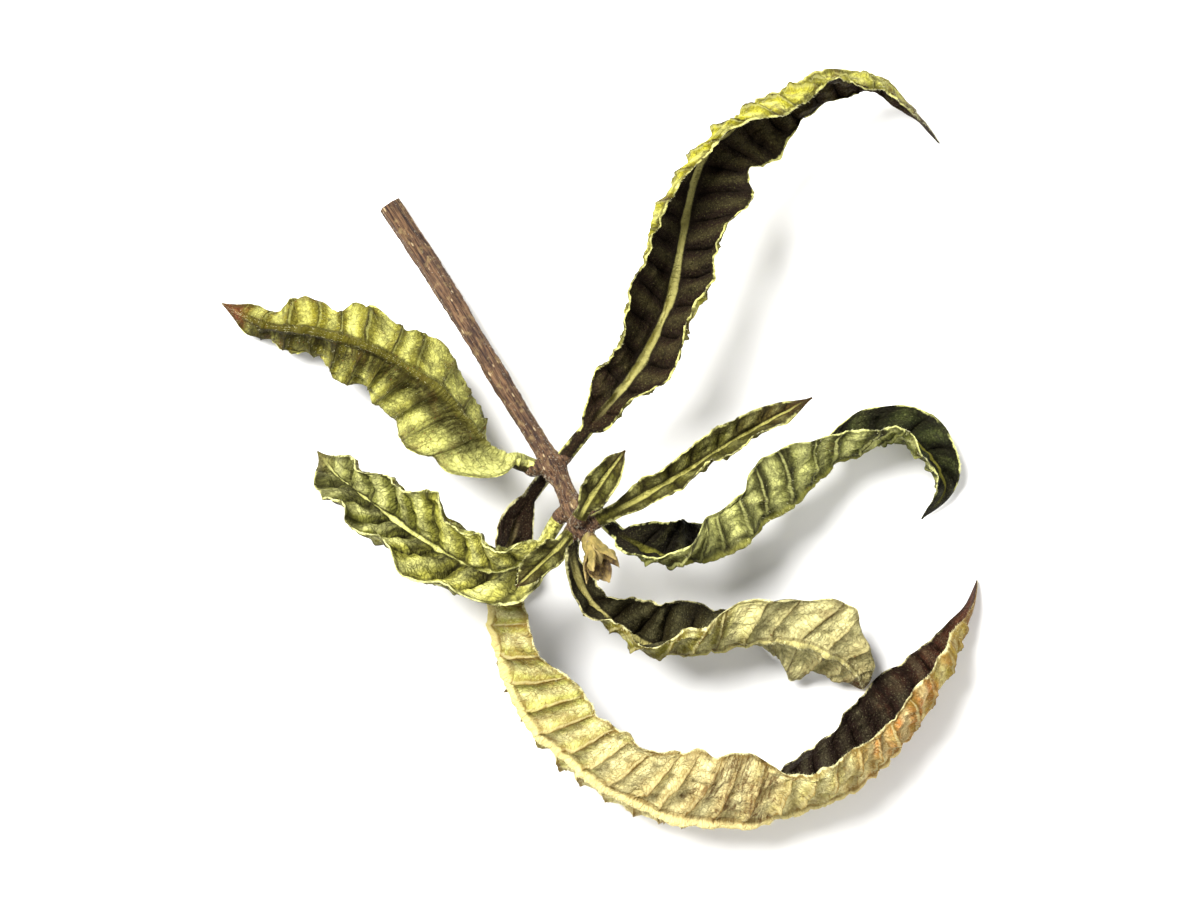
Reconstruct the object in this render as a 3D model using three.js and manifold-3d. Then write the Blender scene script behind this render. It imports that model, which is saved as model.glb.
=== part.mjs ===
// Dried lemon verbena sprig: a cut shoot with two whorls of three narrow leaves, three young leaves and
// the bud at its tip, lying on a flat surface as it dried. Millimetres, +Z up, the cut end towards +Y.
import * as THREE from "three";
import { mergeVertices } from "three/addons/utils/BufferGeometryUtils.js";
import Module from "manifold-3d";

// Where the knot of petioles lies. The origin is the middle of the sprig's footprint, on the surface.
const KNOT = new THREE.Vector3(-3.65, -4.631, 0);

const BLADE_THICKNESS = 0.7;
const MIDRIB_SHARE = 0.08; // how far the midrib stands out below, as a share of the half width
const MIDRIB_RUN_OUT = 0.3; // share of the length over which the midrib thins to the tip
const PETIOLE_THICKNESS = 1.4;
const PETIOLE_HALF_WIDTH = 0.75;
const TIP_HALF_WIDTH = 0.35;
const OPEN_HALF_WIDTH = 2.5; // a blade at least this wide has its whole fold and curl
const VEIN_SPACING = 3;
const VEIN_RELIEF = 0.28; // how far the blade swells between two side veins
const VEIN_LEAN = 0.36; // how far a side vein runs forward for each millimetre outwards
const RUN_OUT = 0.12; // share of the length at each end where veins and waves die away
const WAVE_GROWTH = 2.2; // power with which the wave grows from the midrib to the margin
const WAVE_START = { left: 0.1, right: 0.45 };
const RIGHT_WAVES = 1.15; // waves of the right margin for each one of the left
const HALF_COLUMNS = 4;
const LINE_STEPS = 240;
const TANGENT_REACH = 0.004;
const UP = new THREE.Vector3(0, 0, 1);

const radians = THREE.MathUtils.degToRad;
const clamp01 = (value) => THREE.MathUtils.clamp(value, 0, 1);
const smooth = (value) => THREE.MathUtils.smoothstep(value, 0, 1);

// Each row of a leaf's line: x, y, z of the midrib, its roll about that line (0 has the upper side up,
// 90 turns it to the right), and how far the left and the right half curl up, in degrees.
const LEAVES = [
  {
    name: "lower_leaf_1", // long gutter that folds over to the right and hooks down at its tip
    colour: 0x9aa04a,
    halfWidth: 6.5,
    widest: 0.38,
    taper: 0.95,
    grownAt: 0.775,
    petiole: 3.5,
    fold: 8,
    wave: 0.7,
    waves: 6.5,
    line: [
      [0.2, 4.2, 8.9, 0, 50, 50],
      [3.2, 7.8, 9.8, 0, 66, 64],
      [7.2, 12.6, 10.2, -4, 80, 74],
      [10.6, 19.2, 10.4, -4, 84, 78],
      [12.0, 26.0, 10.8, 4, 84, 86],
      [13.4, 32.4, 11.6, 28, 82, 98],
      [16.6, 37.4, 11.4, 60, 72, 96],
      [21.8, 40.8, 9.8, 74, 64, 88],
      [27.4, 43.0, 7.6, 78, 56, 74],
      [32.4, 42.8, 5.2, 82, 50, 54],
      [36.4, 39.8, 2.6, 80, 40, 40],
      [39.2, 36.8, 0.5, 75, 30, 30],
    ],
  },
  {
    name: "lower_leaf_2", // underside up, bent down to the surface on the left
    colour: 0xa6a94e,
    halfWidth: 6.6,
    widest: 0.34,
    taper: 0.9,
    grownAt: 0.775,
    petiole: 1.8,
    fold: 14,
    wave: 0.6,
    waves: 5,
    line: [
      [-3.7, 2.9, 9.1, -50, 30, 30],
      [-7.0, 4.2, 10.2, -110, 45, 45],
      [-10.0, 7.6, 10.8, -150, 52, 48],
      [-13.8, 11.4, 10.6, -168, 58, 48],
      [-19.4, 14.8, 9.2, -178, 62, 52],
      [-25.6, 16.8, 6.6, -185, 60, 55],
      [-31.2, 17.6, 3.6, -190, 50, 50],
      [-36.0, 20.0, 0.5, -190, 30, 30],
    ],
  },
  {
    name: "lower_leaf_3", // tan boat on its side, open towards the knot
    colour: 0xc6b27a,
    halfWidth: 8.3,
    widest: 0.5,
    taper: 0.62,
    grownAt: 0.775,
    petiole: 3.5,
    fold: 4,
    wave: 0.9,
    waves: 5.5,
    line: [
      [-1.7, 2.4, 6.6, 0, 30, 30],
      [-5.0, -2.6, 5.3, -30, 40, 40],
      [-7.6, -10.4, 5.0, -80, 60, 60],
      [-6.0, -18.4, 6.4, -110, 75, 45],
      [-0.2, -26.8, 7.2, -125, 85, 40],
      [8.6, -32.2, 7.4, -128, 88, 38],
      [18.0, -33.6, 6.8, -114, 80, 50],
      [27.0, -31.4, 5.6, -84, 70, 76],
      [34.4, -25.8, 4.6, -70, 64, 84],
      [39.6, -18.6, 3.2, -68, 58, 76],
      [42.0, -13.4, 1.8, -72, 50, 60],
      [43.2, -9.0, 0.4, -80, 30, 30],
    ],
  },
  {
    name: "upper_leaf_1", // twisted gutter, its underside up beyond the base, with a hooked tip
    colour: 0x7d8a3c,
    halfWidth: 5.8,
    widest: 0.36,
    taper: 0.85,
    grownAt: 0.9,
    petiole: 3.5,
    fold: 8,
    wave: 0.6,
    waves: 6,
    line: [
      [3.2, -1.6, 10.7, 0, 45, 45],
      [6.2, -4.4, 11.2, -10, 55, 55],
      [10.4, -6.4, 10.8, -52, 70, 72],
      [15.6, -5.8, 9.8, -96, 80, 80],
      [22.0, -1.4, 8.2, -104, 78, 75],
      [27.6, 3.2, 6.6, -88, 70, 70],
      [33.2, 5.8, 4.8, -62, 60, 60],
      [37.6, 4.6, 3.4, -42, 50, 50],
      [39.6, 0.6, 1.9, -38, 40, 40],
      [37.4, -2.6, 0.4, -45, 25, 25],
    ],
  },
  {
    name: "upper_leaf_2", // folded along its midrib, its ribbed upper side up
    colour: 0xa9ad57,
    halfWidth: 6.4,
    widest: 0.38,
    taper: 0.9,
    grownAt: 0.9,
    petiole: 2.8,
    fold: 36,
    wave: 0.7,
    waves: 4.5,
    line: [
      [-0.7, -2.6, 10.9, 0, 30, 30],
      [-3.2, -6.2, 10.9, 0, 30, 30],
      [-8.0, -7.8, 9.8, 4, 32, 32],
      [-14.0, -5.0, 7.6, 8, 32, 32],
      [-19.6, -1.2, 5.0, 8, 30, 30],
      [-23.6, 1.8, 2.6, 4, 26, 26],
      [-26.0, 4.5, 0.3, 0, 20, 20],
    ],
  },
  {
    name: "upper_leaf_3", // gutter that turns its underside up and drops its broad tip
    colour: 0x949a45,
    halfWidth: 6.2,
    widest: 0.6,
    taper: 0.6,
    grownAt: 0.9,
    petiole: 3.5,
    fold: 8,
    wave: 0.7,
    waves: 6,
    line: [
      [1.2, -2.7, 9.1, 0, 40, 40],
      [0.9, -7.0, 8.8, -10, 60, 60],
      [3.2, -12.0, 8.4, -35, 75, 75],
      [8.6, -15.4, 8.0, -58, 80, 80],
      [14.6, -15.6, 7.4, -76, 60, 76],
      [19.6, -14.8, 7.6, -110, 40, 56],
      [24.2, -15.0, 7.0, -144, 30, 40],
      [28.0, -16.8, 5.2, -158, 28, 34],
      [30.4, -18.8, 2.8, -166, 28, 32],
      [31.2, -20.4, 0.6, -168, 28, 28],
    ],
  },
  {
    name: "young_leaf_1",
    colour: 0x8f9a44,
    halfWidth: 2.3,
    widest: 0.45,
    taper: 0.95,
    grownAt: 0.94,
    petiole: 2.5,
    fold: 12,
    wave: 0.25,
    waves: 3.5,
    line: [
      [3.4, -2.5, 12.8, 0, 40, 40],
      [7.4, -0.4, 14.3, 0, 60, 60],
      [13.0, 2.8, 13.6, -15, 65, 65],
      [19.0, 6.6, 12.0, -25, 60, 60],
      [25.4, 10.0, 10.2, -30, 40, 40],
    ],
  },
  {
    name: "young_leaf_2",
    colour: 0x97a048,
    halfWidth: 1.7,
    widest: 0.4,
    taper: 0.95,
    grownAt: 0.94,
    petiole: 1.5,
    fold: 12,
    wave: 0.2,
    waves: 2,
    line: [
      [1.6, -2.1, 13.9, 10, 40, 40],
      [2.3, -0.8, 15.2, 10, 50, 50],
      [4.0, 1.7, 16.1, 5, 50, 50],
      [6.2, 4.6, 15.8, 0, 35, 35],
    ],
  },
  {
    name: "young_leaf_3",
    colour: 0x97a048,
    halfWidth: 1.7,
    widest: 0.4,
    taper: 0.95,
    grownAt: 0.94,
    petiole: 1.5,
    fold: 12,
    wave: 0.2,
    waves: 2,
    line: [
      [0.4, -4.2, 13.0, 0, 40, 40],
      [-0.7, -5.4, 14.4, 5, 50, 50],
      [-2.6, -7.2, 15.4, 15, 50, 50],
      [-4.8, -9.2, 15.4, 20, 35, 35],
    ],
  },
];

// A smooth line through rows of numbers, read by the share of its length.
class Line {
  constructor(rows) {
    this.rows = rows;
    this.lengths = [0];
    let last = this.pointAt(0);
    for (let i = 1; i <= LINE_STEPS; i++) {
      const next = this.pointAt(i / LINE_STEPS);
      this.lengths.push(this.lengths[i - 1] + next.distanceTo(last));
      last = next;
    }
    this.length = this.lengths[LINE_STEPS];
  }

  rowAt(t) {
    const { rows } = this;
    const spans = rows.length - 1;
    const i = Math.min(Math.floor(t * spans), spans - 1);
    const f = t * spans - i;
    const before = i > 0 ? rows[i - 1] : rows[i].map((value, k) => 2 * value - rows[i + 1][k]);
    const after = i < spans - 1 ? rows[i + 2] : rows[i + 1].map((value, k) => 2 * value - rows[i][k]);
    return rows[i].map((start, k) => {
      const end = rows[i + 1][k];
      const outward = (end - before[k]) / 2;
      const inward = (after[k] - start) / 2;
      const squared = 3 * (end - start) - 2 * outward - inward;
      const cubed = 2 * (start - end) + outward + inward;
      return start + f * (outward + f * (squared + f * cubed));
    });
  }

  pointAt(t) {
    return new THREE.Vector3(...this.rowAt(t).slice(0, 3));
  }

  // The row at a share of the length, from 0 at the base to 1 at the tip.
  along(share) {
    const wanted = clamp01(share) * this.length;
    let i = 1;
    while (i < LINE_STEPS && this.lengths[i] < wanted) i++;
    const span = this.lengths[i] - this.lengths[i - 1];
    return this.rowAt((i - 1 + (wanted - this.lengths[i - 1]) / span) / LINE_STEPS);
  }

  tangent(share) {
    const ahead = new THREE.Vector3().fromArray(this.along(share + TANGENT_REACH));
    const behind = new THREE.Vector3().fromArray(this.along(share - TANGENT_REACH));
    return ahead.sub(behind).normalize();
  }
}

// Half the blade's flat width at a share of its length, running into the round petiole and the thin tip.
function halfWidthAt(leaf, share, length) {
  const petiole = leaf.petiole / length;
  const t = clamp01((share - petiole) / (1 - petiole));
  const rise = (leaf.taper * leaf.widest) / (1 - leaf.widest);
  const most = leaf.widest ** rise * (1 - leaf.widest) ** leaf.taper;
  const blade = (leaf.halfWidth * t ** rise * (1 - t) ** leaf.taper) / most;
  const stalk = THREE.MathUtils.lerp(PETIOLE_HALF_WIDTH, TIP_HALF_WIDTH, share);
  return Math.hypot(blade, stalk);
}

// The middle of the blade and its normal, at a share of the length and from -1 at the left edge to 1 at
// the right one.
function bladePoint(leaf, line, share, side, relief) {
  const out = Math.abs(side);
  const inside = smooth(share / RUN_OUT) * smooth((1 - share) / RUN_OUT);
  const lean = (VEIN_LEAN * out * halfWidthAt(leaf, share, line.length) * inside) / line.length;
  const u = share + lean;
  const [x, y, z, roll, left, right] = line.along(u);
  const half = halfWidthAt(leaf, u, line.length);

  const forward = line.tangent(u);
  const level = UP.clone().addScaledVector(forward, -forward.z).normalize();
  const rightward = new THREE.Vector3().crossVectors(forward, level);
  const turn = radians(roll);
  const normal = level.clone().multiplyScalar(Math.cos(turn)).addScaledVector(rightward, Math.sin(turn));
  const across = rightward.multiplyScalar(Math.cos(turn)).addScaledVector(level, -Math.sin(turn));

  const opened = smooth(half / OPEN_HALF_WIDTH);
  const fold = radians(leaf.fold) * opened;
  const curl = Math.max(radians(side < 0 ? left : right) * opened, 0.001);
  const angle = fold + curl * out;
  const sideways = (half / curl) * (Math.sin(angle) - Math.sin(fold)) * Math.sign(side);
  const raised = (half / curl) * (Math.cos(fold) - Math.cos(angle));
  const facing = normal
    .clone()
    .multiplyScalar(Math.cos(angle))
    .addScaledVector(across, -Math.sin(angle) * Math.sign(side));

  const start = side < 0 ? WAVE_START.left : WAVE_START.right;
  const waves = leaf.waves * (side < 0 ? 1 : RIGHT_WAVES);
  const wave = leaf.wave * out ** WAVE_GROWTH * Math.sin(2 * Math.PI * (waves * share + start));
  // the swelling between side veins starts beside the midrib and is flatter at the margin
  const swell = relief * VEIN_RELIEF * smooth(out / 0.3) * (1 - 0.4 * smooth((out - 0.7) / 0.3));
  // narrow parts of the blade wave and swell less
  const rise = (wave * clamp01(half / 3) + swell * clamp01(half / 4)) * inside;

  const point = new THREE.Vector3(x, y, z)
    .addScaledVector(across, sideways)
    .addScaledVector(normal, raised)
    .addScaledVector(facing, rise);
  return { point, facing };
}

// The round petiole thins to the blade over a little more than its own length.
function thicknessAt(leaf, share, length) {
  const petiole = leaf.petiole / length;
  const blade = smooth((share - petiole * 0.4) / (petiole * 1.4));
  return THREE.MathUtils.lerp(PETIOLE_THICKNESS, BLADE_THICKNESS, blade);
}

// A closed blade: an upper and a lower face split into triangles alike, joined round the edge.
// Rows of points follow the side veins, and every second row stands on a vein.
function bladeGeometry(leaf, halfColumns = HALF_COLUMNS, rowLength = VEIN_SPACING / 2) {
  const line = new Line(leaf.line);
  const rows = 2 * Math.round(line.length / rowLength / 2);
  const columns = 2 * halfColumns;
  const upper = [];
  const lower = [];
  for (let i = 0; i <= rows; i++) {
    const share = i / rows;
    const thickness = thicknessAt(leaf, share, line.length);
    for (let j = 0; j <= columns; j++) {
      const side = j / halfColumns - 1;
      const { point, facing } = bladePoint(leaf, line, share, side, i % 2 ? 1 : -1);
      const midrib = MIDRIB_SHARE * leaf.halfWidth * smooth((1 - share) / MIDRIB_RUN_OUT);
      const rib = j === halfColumns ? midrib : 0;
      const top = point.clone().addScaledVector(facing, thickness / 2);
      const under = point.clone().addScaledVector(facing, -thickness / 2 - rib);
      const sunk = Math.min(top.z, under.z, 0);
      for (const [list, corner] of [[upper, top], [lower, under]]) {
        corner.z -= sunk;
        list.push(...corner.toArray());
      }
    }
  }

  const index = [];
  const faces = (a, b, c, d) => index.push(a, b, c, a, c, d);
  const stride = columns + 1;
  const below = (rows + 1) * stride;
  for (let i = 0; i < rows; i++) {
    for (let j = 0; j < columns; j++) {
      const a = i * stride + j;
      const ring = [a, a + 1, a + 1 + stride, a + stride];
      const turned = j < halfColumns ? ring : [ring[1], ring[2], ring[3], ring[0]];
      faces(...turned);
      const [p, q, r, s] = turned.map((corner) => corner + below);
      faces(p, s, r, q);
    }
    const left = i * stride;
    const right = left + columns;
    faces(left, left + stride, left + stride + below, left + below);
    faces(right, right + below, right + stride + below, right + stride);
  }
  for (let j = 0; j < columns; j++) {
    const tip = rows * stride + j;
    faces(j, j + below, j + 1 + below, j + 1);
    faces(tip, tip + 1, tip + 1 + below, tip + below);
  }
  const geometry = new THREE.BufferGeometry();
  geometry.setAttribute("position", new THREE.Float32BufferAttribute([...upper, ...lower], 3));
  geometry.setIndex(index);
  return geometry;
}

// A closed ribbed tube: rings of points round a line, each ring with its own radius.
function tubeGeometry(rows, sides, steps, radiusAt) {
  const line = new Line(rows);
  const points = [];
  const index = [];
  for (let i = 0; i <= steps; i++) {
    const share = i / steps;
    const [x, y, z] = line.along(share);
    const forward = line.tangent(share);
    const level = UP.clone().addScaledVector(forward, -forward.z).normalize();
    const across = new THREE.Vector3().crossVectors(forward, level);
    for (let k = 0; k < sides; k++) {
      const angle = (2 * Math.PI * (k + 0.5)) / sides;
      const radius = radiusAt(share, k, line.length);
      const corner = new THREE.Vector3(x, y, z)
        .addScaledVector(across, radius * Math.cos(angle))
        .addScaledVector(level, radius * Math.sin(angle));
      corner.z = Math.max(corner.z, 0);
      points.push(...corner.toArray());
      if (i === steps) continue;
      const a = i * sides + k;
      const b = i * sides + ((k + 1) % sides);
      index.push(a, b + sides, b, a, a + sides, b + sides);
    }
  }
  for (let k = 1; k < sides - 1; k++) {
    index.push(0, k, k + 1);
    index.push(steps * sides, steps * sides + k + 1, steps * sides + k);
  }
  const geometry = new THREE.BufferGeometry();
  geometry.setAttribute("position", new THREE.Float32BufferAttribute(points, 3));
  geometry.setIndex(index);
  return geometry;
}

const STEM = {
  colour: 0x6b5040,
  line: [
    [-18.4, 30.4, 0.95],
    [-14.6, 24.6, 1.3],
    [-10.2, 17.6, 3.8],
    [-5.4, 9.8, 6.5],
    [-1.2, 3.0, 8.7],
    [1.0, -1.5, 10.9],
    [2.4, -4.2, 13.0],
  ],
  sides: 12,
  rings: 34,
  cutRadius: 1.15,
  tipRadius: 0.85,
  ribHeight: 0.08, // of the radius, on every second side
  nodes: [0.785, 0.913], // shares of the length where the whorls sit
  nodeSwelling: 0.5,
  nodeReach: 1.3,
  cushionGap: 0.3, // between a cushion's end and the petiole it carries
  cushionRun: 0.8,
  cushionRadius: 0.85,
  cushionSides: 6,
};

function stemRadius(share, side, length) {
  const plain = THREE.MathUtils.lerp(STEM.cutRadius, STEM.tipRadius, share);
  const swelling = STEM.nodes.reduce((sum, node) => {
    const away = ((share - node) * length) / STEM.nodeReach;
    return sum + STEM.nodeSwelling * Math.exp(-away * away);
  }, 0);
  return (plain + swelling) * (1 + STEM.ribHeight * (side % 2 ? 1 : -1));
}

const stemLine = new Line(STEM.line);

// The short cushion that carries a leaf: one length grows out of the stem, the next ends square to
// the petiole.
function cushionGeometries(leaf) {
  const root = new THREE.Vector3().fromArray(stemLine.along(leaf.grownAt));
  const petiole = new Line(leaf.line);
  const heading = petiole.tangent(0);
  const end = petiole.pointAt(0).addScaledVector(heading, -STEM.cushionGap);
  const bend = end.clone().addScaledVector(heading, -STEM.cushionRun);
  const sunk = bend.clone().addScaledVector(heading, -STEM.cushionRun / 2);
  return [[root, bend], [sunk, end]].map((ends) => {
    const rows = ends.map((point) => point.toArray());
    return tubeGeometry(rows, STEM.cushionSides, 1, () => STEM.cushionRadius);
  });
}

const wasm = await Module();
wasm.setup();

function solidOf(geometry) {
  const bare = geometry.clone();
  bare.deleteAttribute("normal");
  bare.deleteAttribute("uv");
  const merged = mergeVertices(bare);
  const vertProperties = merged.attributes.position.array;
  const triVerts = new Uint32Array(merged.index.array);
  return new wasm.Manifold(new wasm.Mesh({ numProp: 3, vertProperties, triVerts }));
}

function joined(geometries) {
  const whole = geometries.map(solidOf).reduce((all, next) => all.add(next));
  const { vertProperties, triVerts } = whole.getMesh();
  const geometry = new THREE.BufferGeometry();
  geometry.setAttribute("position", new THREE.BufferAttribute(vertProperties, 3));
  geometry.setIndex(new THREE.BufferAttribute(triVerts, 1));
  return geometry;
}

const BUD = {
  colour: 0x9a6f3e,
  clearance: 0.3, // gap to the end of the stem
  radius: 0.95,
  length: 3.4,
  sides: 10,
  profile: [0, 0.5, 0.85, 1, 0.8, 0.45, 0], // radius of the core from its base to its point, as a share
  scales: 6,
  goldenTurn: 137.5, // degrees from one scale to the next
  firstScale: 0.5,
  scaleStep: 0.22, // how much farther along each next scale starts
  scaleLength: 4.2,
  scaleShortening: 0.06, // each next scale is shorter by this share
  scaleSplay: 1.3, // how far a scale's tip stands off the core
  scaleClosing: 0.15, // each next scale stands off less by this share
  scaleCurl: 45,
  scale: { halfWidth: 0.95, widest: 0.45, taper: 0.95, petiole: 0.8, fold: 5, wave: 0, waves: 0 },
  scaleHalfColumns: 2,
  scaleRowLength: 0.7,
};

// The line of a scale leaf at the bud: its base, its shoulder and its tip, rolled so that its upper side
// faces the core.
function scaleLine(seat, axis, outward, i) {
  const length = BUD.scaleLength * (1 - i * BUD.scaleShortening);
  const start = BUD.firstScale + i * BUD.scaleStep;
  const points = [
    [start, 0.2],
    [start + 0.45 * BUD.scaleLength, BUD.radius + 0.35],
    [start + length, BUD.radius + BUD.scaleSplay * (1 - i * BUD.scaleClosing)],
  ].map(([along, off]) => seat.clone().addScaledVector(axis, along).addScaledVector(outward, off));
  const rows = points.map((point, k) => {
    const ahead = points[Math.min(k + 1, points.length - 1)];
    const forward = ahead.clone().sub(points[Math.max(k - 1, 0)]).normalize();
    const level = UP.clone().addScaledVector(forward, -forward.z).normalize();
    const rightward = new THREE.Vector3().crossVectors(forward, level);
    const roll = THREE.MathUtils.radToDeg(Math.atan2(-outward.dot(rightward), -outward.dot(level)));
    return [...point.toArray(), roll, BUD.scaleCurl, BUD.scaleCurl];
  });
  for (let k = 1; k < rows.length; k++) {
    rows[k][3] += 360 * Math.round((rows[k - 1][3] - rows[k][3]) / 360);
  }
  return rows;
}

// A pointed core with scale leaves round it.
function budGeometry(seat, axis) {
  const steps = BUD.profile.length - 1;
  const profile = BUD.profile.map(
    (reach, i) => new THREE.Vector2(reach * BUD.radius, (i / steps) * BUD.length),
  );
  const core = new THREE.LatheGeometry(profile, BUD.sides);
  core.applyQuaternion(new THREE.Quaternion().setFromUnitVectors(new THREE.Vector3(0, 1, 0), axis));
  core.translate(...seat.toArray());

  const level = UP.clone().addScaledVector(axis, -axis.z).normalize();
  const rightward = new THREE.Vector3().crossVectors(axis, level);
  const scales = Array.from({ length: BUD.scales }, (_, i) => {
    const angle = radians(BUD.goldenTurn * i);
    const outward = rightward
      .clone()
      .multiplyScalar(Math.cos(angle))
      .addScaledVector(level, Math.sin(angle));
    const scale = { ...BUD.scale, line: scaleLine(seat, axis, outward, i) };
    return bladeGeometry(scale, BUD.scaleHalfColumns, BUD.scaleRowLength);
  });
  return joined([core, ...scales]);
}

const sprig = new THREE.Group();
sprig.position.copy(KNOT);

// Adds a piece whose points are given in the sprig's frame, turned into one placed at its own root.
function place(name, geometry, colour, root) {
  const seat = root.slice(0, 3);
  geometry.translate(...seat.map((value) => -value));
  geometry.computeVertexNormals();
  const material = new THREE.MeshStandardMaterial({
    color: colour,
    roughness: 0.85,
    metalness: 0,
    flatShading: true,
  });
  const mesh = new THREE.Mesh(geometry, material);
  mesh.name = name;
  mesh.position.set(...seat);
  sprig.add(mesh);
}

const bark = tubeGeometry(STEM.line, STEM.sides, STEM.rings, stemRadius);
place("stem", joined([bark, ...LEAVES.flatMap(cushionGeometries)]), STEM.colour, STEM.line[0]);

const stemEnd = new THREE.Vector3(...stemLine.along(1));
const stemAxis = stemLine.tangent(1);
const budSeat = stemEnd.addScaledVector(stemAxis, BUD.clearance);
place("shoot_tip", budGeometry(budSeat, stemAxis), BUD.colour, budSeat.toArray());

for (const leaf of LEAVES) place(leaf.name, bladeGeometry(leaf), leaf.colour, leaf.line[0]);

export default sprig;
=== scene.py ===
import math

import bpy
import numpy as np
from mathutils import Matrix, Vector


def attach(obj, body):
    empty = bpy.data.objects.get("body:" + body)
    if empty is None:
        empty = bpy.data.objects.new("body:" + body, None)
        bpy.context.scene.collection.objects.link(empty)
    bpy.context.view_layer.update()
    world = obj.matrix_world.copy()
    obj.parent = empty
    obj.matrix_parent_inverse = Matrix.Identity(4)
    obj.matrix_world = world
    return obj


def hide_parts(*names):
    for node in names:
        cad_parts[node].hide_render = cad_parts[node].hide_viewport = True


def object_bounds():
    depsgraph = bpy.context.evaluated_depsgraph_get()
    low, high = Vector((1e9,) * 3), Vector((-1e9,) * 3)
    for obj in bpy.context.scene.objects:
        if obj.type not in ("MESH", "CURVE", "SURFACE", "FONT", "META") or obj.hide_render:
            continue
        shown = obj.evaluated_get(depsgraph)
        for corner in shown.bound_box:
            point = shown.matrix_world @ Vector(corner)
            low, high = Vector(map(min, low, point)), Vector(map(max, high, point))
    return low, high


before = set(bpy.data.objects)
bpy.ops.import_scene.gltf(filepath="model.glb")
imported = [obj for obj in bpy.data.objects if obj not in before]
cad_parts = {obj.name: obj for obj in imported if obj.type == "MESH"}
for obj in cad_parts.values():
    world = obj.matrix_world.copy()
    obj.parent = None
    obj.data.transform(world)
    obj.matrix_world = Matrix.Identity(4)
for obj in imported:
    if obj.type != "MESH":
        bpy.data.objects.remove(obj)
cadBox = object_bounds()
print("frame loaded, nodes:", len(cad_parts))

millimetre = 0.001  # in metres
boxLow, boxHigh = (np.array(corner) / millimetre for corner in cadBox)
knot = np.array([-3.65, -4.631, 0.0])  # where the petioles meet, in the frame
up = np.array([0.0, 0.0, 1.0])


def clamp01(value):
    return np.clip(value, 0.0, 1.0)


def smooth(value):
    t = clamp01(value)
    return t * t * (3 - 2 * t)


def blendTo(a, b, share):
    return a + (b - a) * share


def unit(vectors):
    return vectors / np.linalg.norm(vectors, axis=-1, keepdims=True)


def bump(distance, width):
    return np.exp(-(distance / width) ** 2)


noiseSteps = (97, 89)  # how many steps of x and y pass before the heights repeat


def noise(x, y, seed):
    # smooth random heights from -1 to 1, one to each step of x and y
    heights = np.random.default_rng(seed).uniform(-1, 1, noiseSteps)
    x, y = np.broadcast_arrays(np.asarray(x, float), np.asarray(y, float))
    x0, y0 = np.floor(x).astype(int), np.floor(y).astype(int)
    fx, fy = smooth(x - x0), smooth(y - y0)

    def heightAt(stepX, stepY):
        return heights[(x0 + stepX) % noiseSteps[0], (y0 + stepY) % noiseSteps[1]]

    near = blendTo(heightAt(0, 0), heightAt(1, 0), fx)
    far = blendTo(heightAt(0, 1), heightAt(1, 1), fx)
    return blendTo(near, far, fy)


def layers(x, y, seed):
    # three noises, each twice as fine and half as high as the one before
    return sum(noise(x * 2**k, y * 2**k, seed + k) / 2**k for k in range(3))


# A smooth line through rows of numbers, read by its share of the length.
class Spine:
    def __init__(self, rows):
        rows = np.array(rows, float)
        self.spans = len(rows) - 1
        self.rows = np.vstack([2 * rows[0] - rows[1], rows, 2 * rows[-1] - rows[-2]])
        self.steps = np.linspace(0, 1, 241)  # where its length is measured
        points = self.rowAt(self.steps)[:, :3]
        gaps = np.linalg.norm(np.diff(points, axis=0), axis=1)
        self.lengths = np.concatenate([[0], np.cumsum(gaps)])
        self.length = self.lengths[-1]

    def rowAt(self, t):
        i = np.minimum((t * self.spans).astype(int), self.spans - 1)
        f = (t * self.spans - i)[..., None]
        before, start, end, after = (self.rows[i + k] for k in range(4))
        outward, inward = (end - before) / 2, (after - start) / 2
        squared = 3 * (end - start) - 2 * outward - inward
        cubed = 2 * (start - end) + outward + inward
        return start + f * (outward + f * (squared + f * cubed))

    def along(self, share):
        wanted = clamp01(np.asarray(share, float)) * self.length
        return self.rowAt(np.interp(wanted, self.lengths, self.steps))

    def tangent(self, share):
        reach = 0.004
        return unit(self.along(share + reach)[..., :3] - self.along(share - reach)[..., :3])


def squareTo(forward):
    # the direction nearest to up that is square to forward, and the one to its right
    level = unit(up - forward * forward[..., 2:3])
    return level, np.cross(forward, level)


def meshObject(name, points, faces, attributes, material, sharpAngle=50):
    mesh = bpy.data.meshes.new(name)
    mesh.from_pydata((np.asarray(points) * millimetre).tolist(), [], faces)
    for key, values in attributes.items():
        values = np.asarray(values, np.float32)
        kind = "FLOAT_VECTOR" if values.ndim == 2 else "FLOAT"
        field = "vector" if values.ndim == 2 else "value"
        mesh.attributes.new(key, kind, "POINT").data.foreach_set(field, values.ravel())
    mesh.materials.append(material)
    mesh.shade_smooth()
    mesh.set_sharp_from_angle(angle=math.radians(sharpAngle))
    piece = bpy.data.objects.new(name, mesh)
    bpy.context.scene.collection.objects.link(piece)
    return piece


def sheetFaces(rows, columns):
    # quads of an upper and a lower sheet of points, joined round the edge
    stride = columns
    below = rows * stride
    faces = []
    for i in range(rows - 1):
        for j in range(columns - 1):
            a = i * stride + j
            b, c, d = a + 1, a + 1 + stride, a + stride
            faces.append((a, b, c, d))
            faces.append((a + below, d + below, c + below, b + below))
        left, right = i * stride, i * stride + columns - 1
        faces.append((left, left + stride, left + stride + below, left + below))
        faces.append((right, right + below, right + stride + below, right + stride))
    for j in range(columns - 1):
        tip = (rows - 1) * stride + j
        faces.append((j, j + below, j + 1 + below, j + 1))
        faces.append((tip, tip + 1, tip + 1 + below, tip + below))
    return faces


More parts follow.
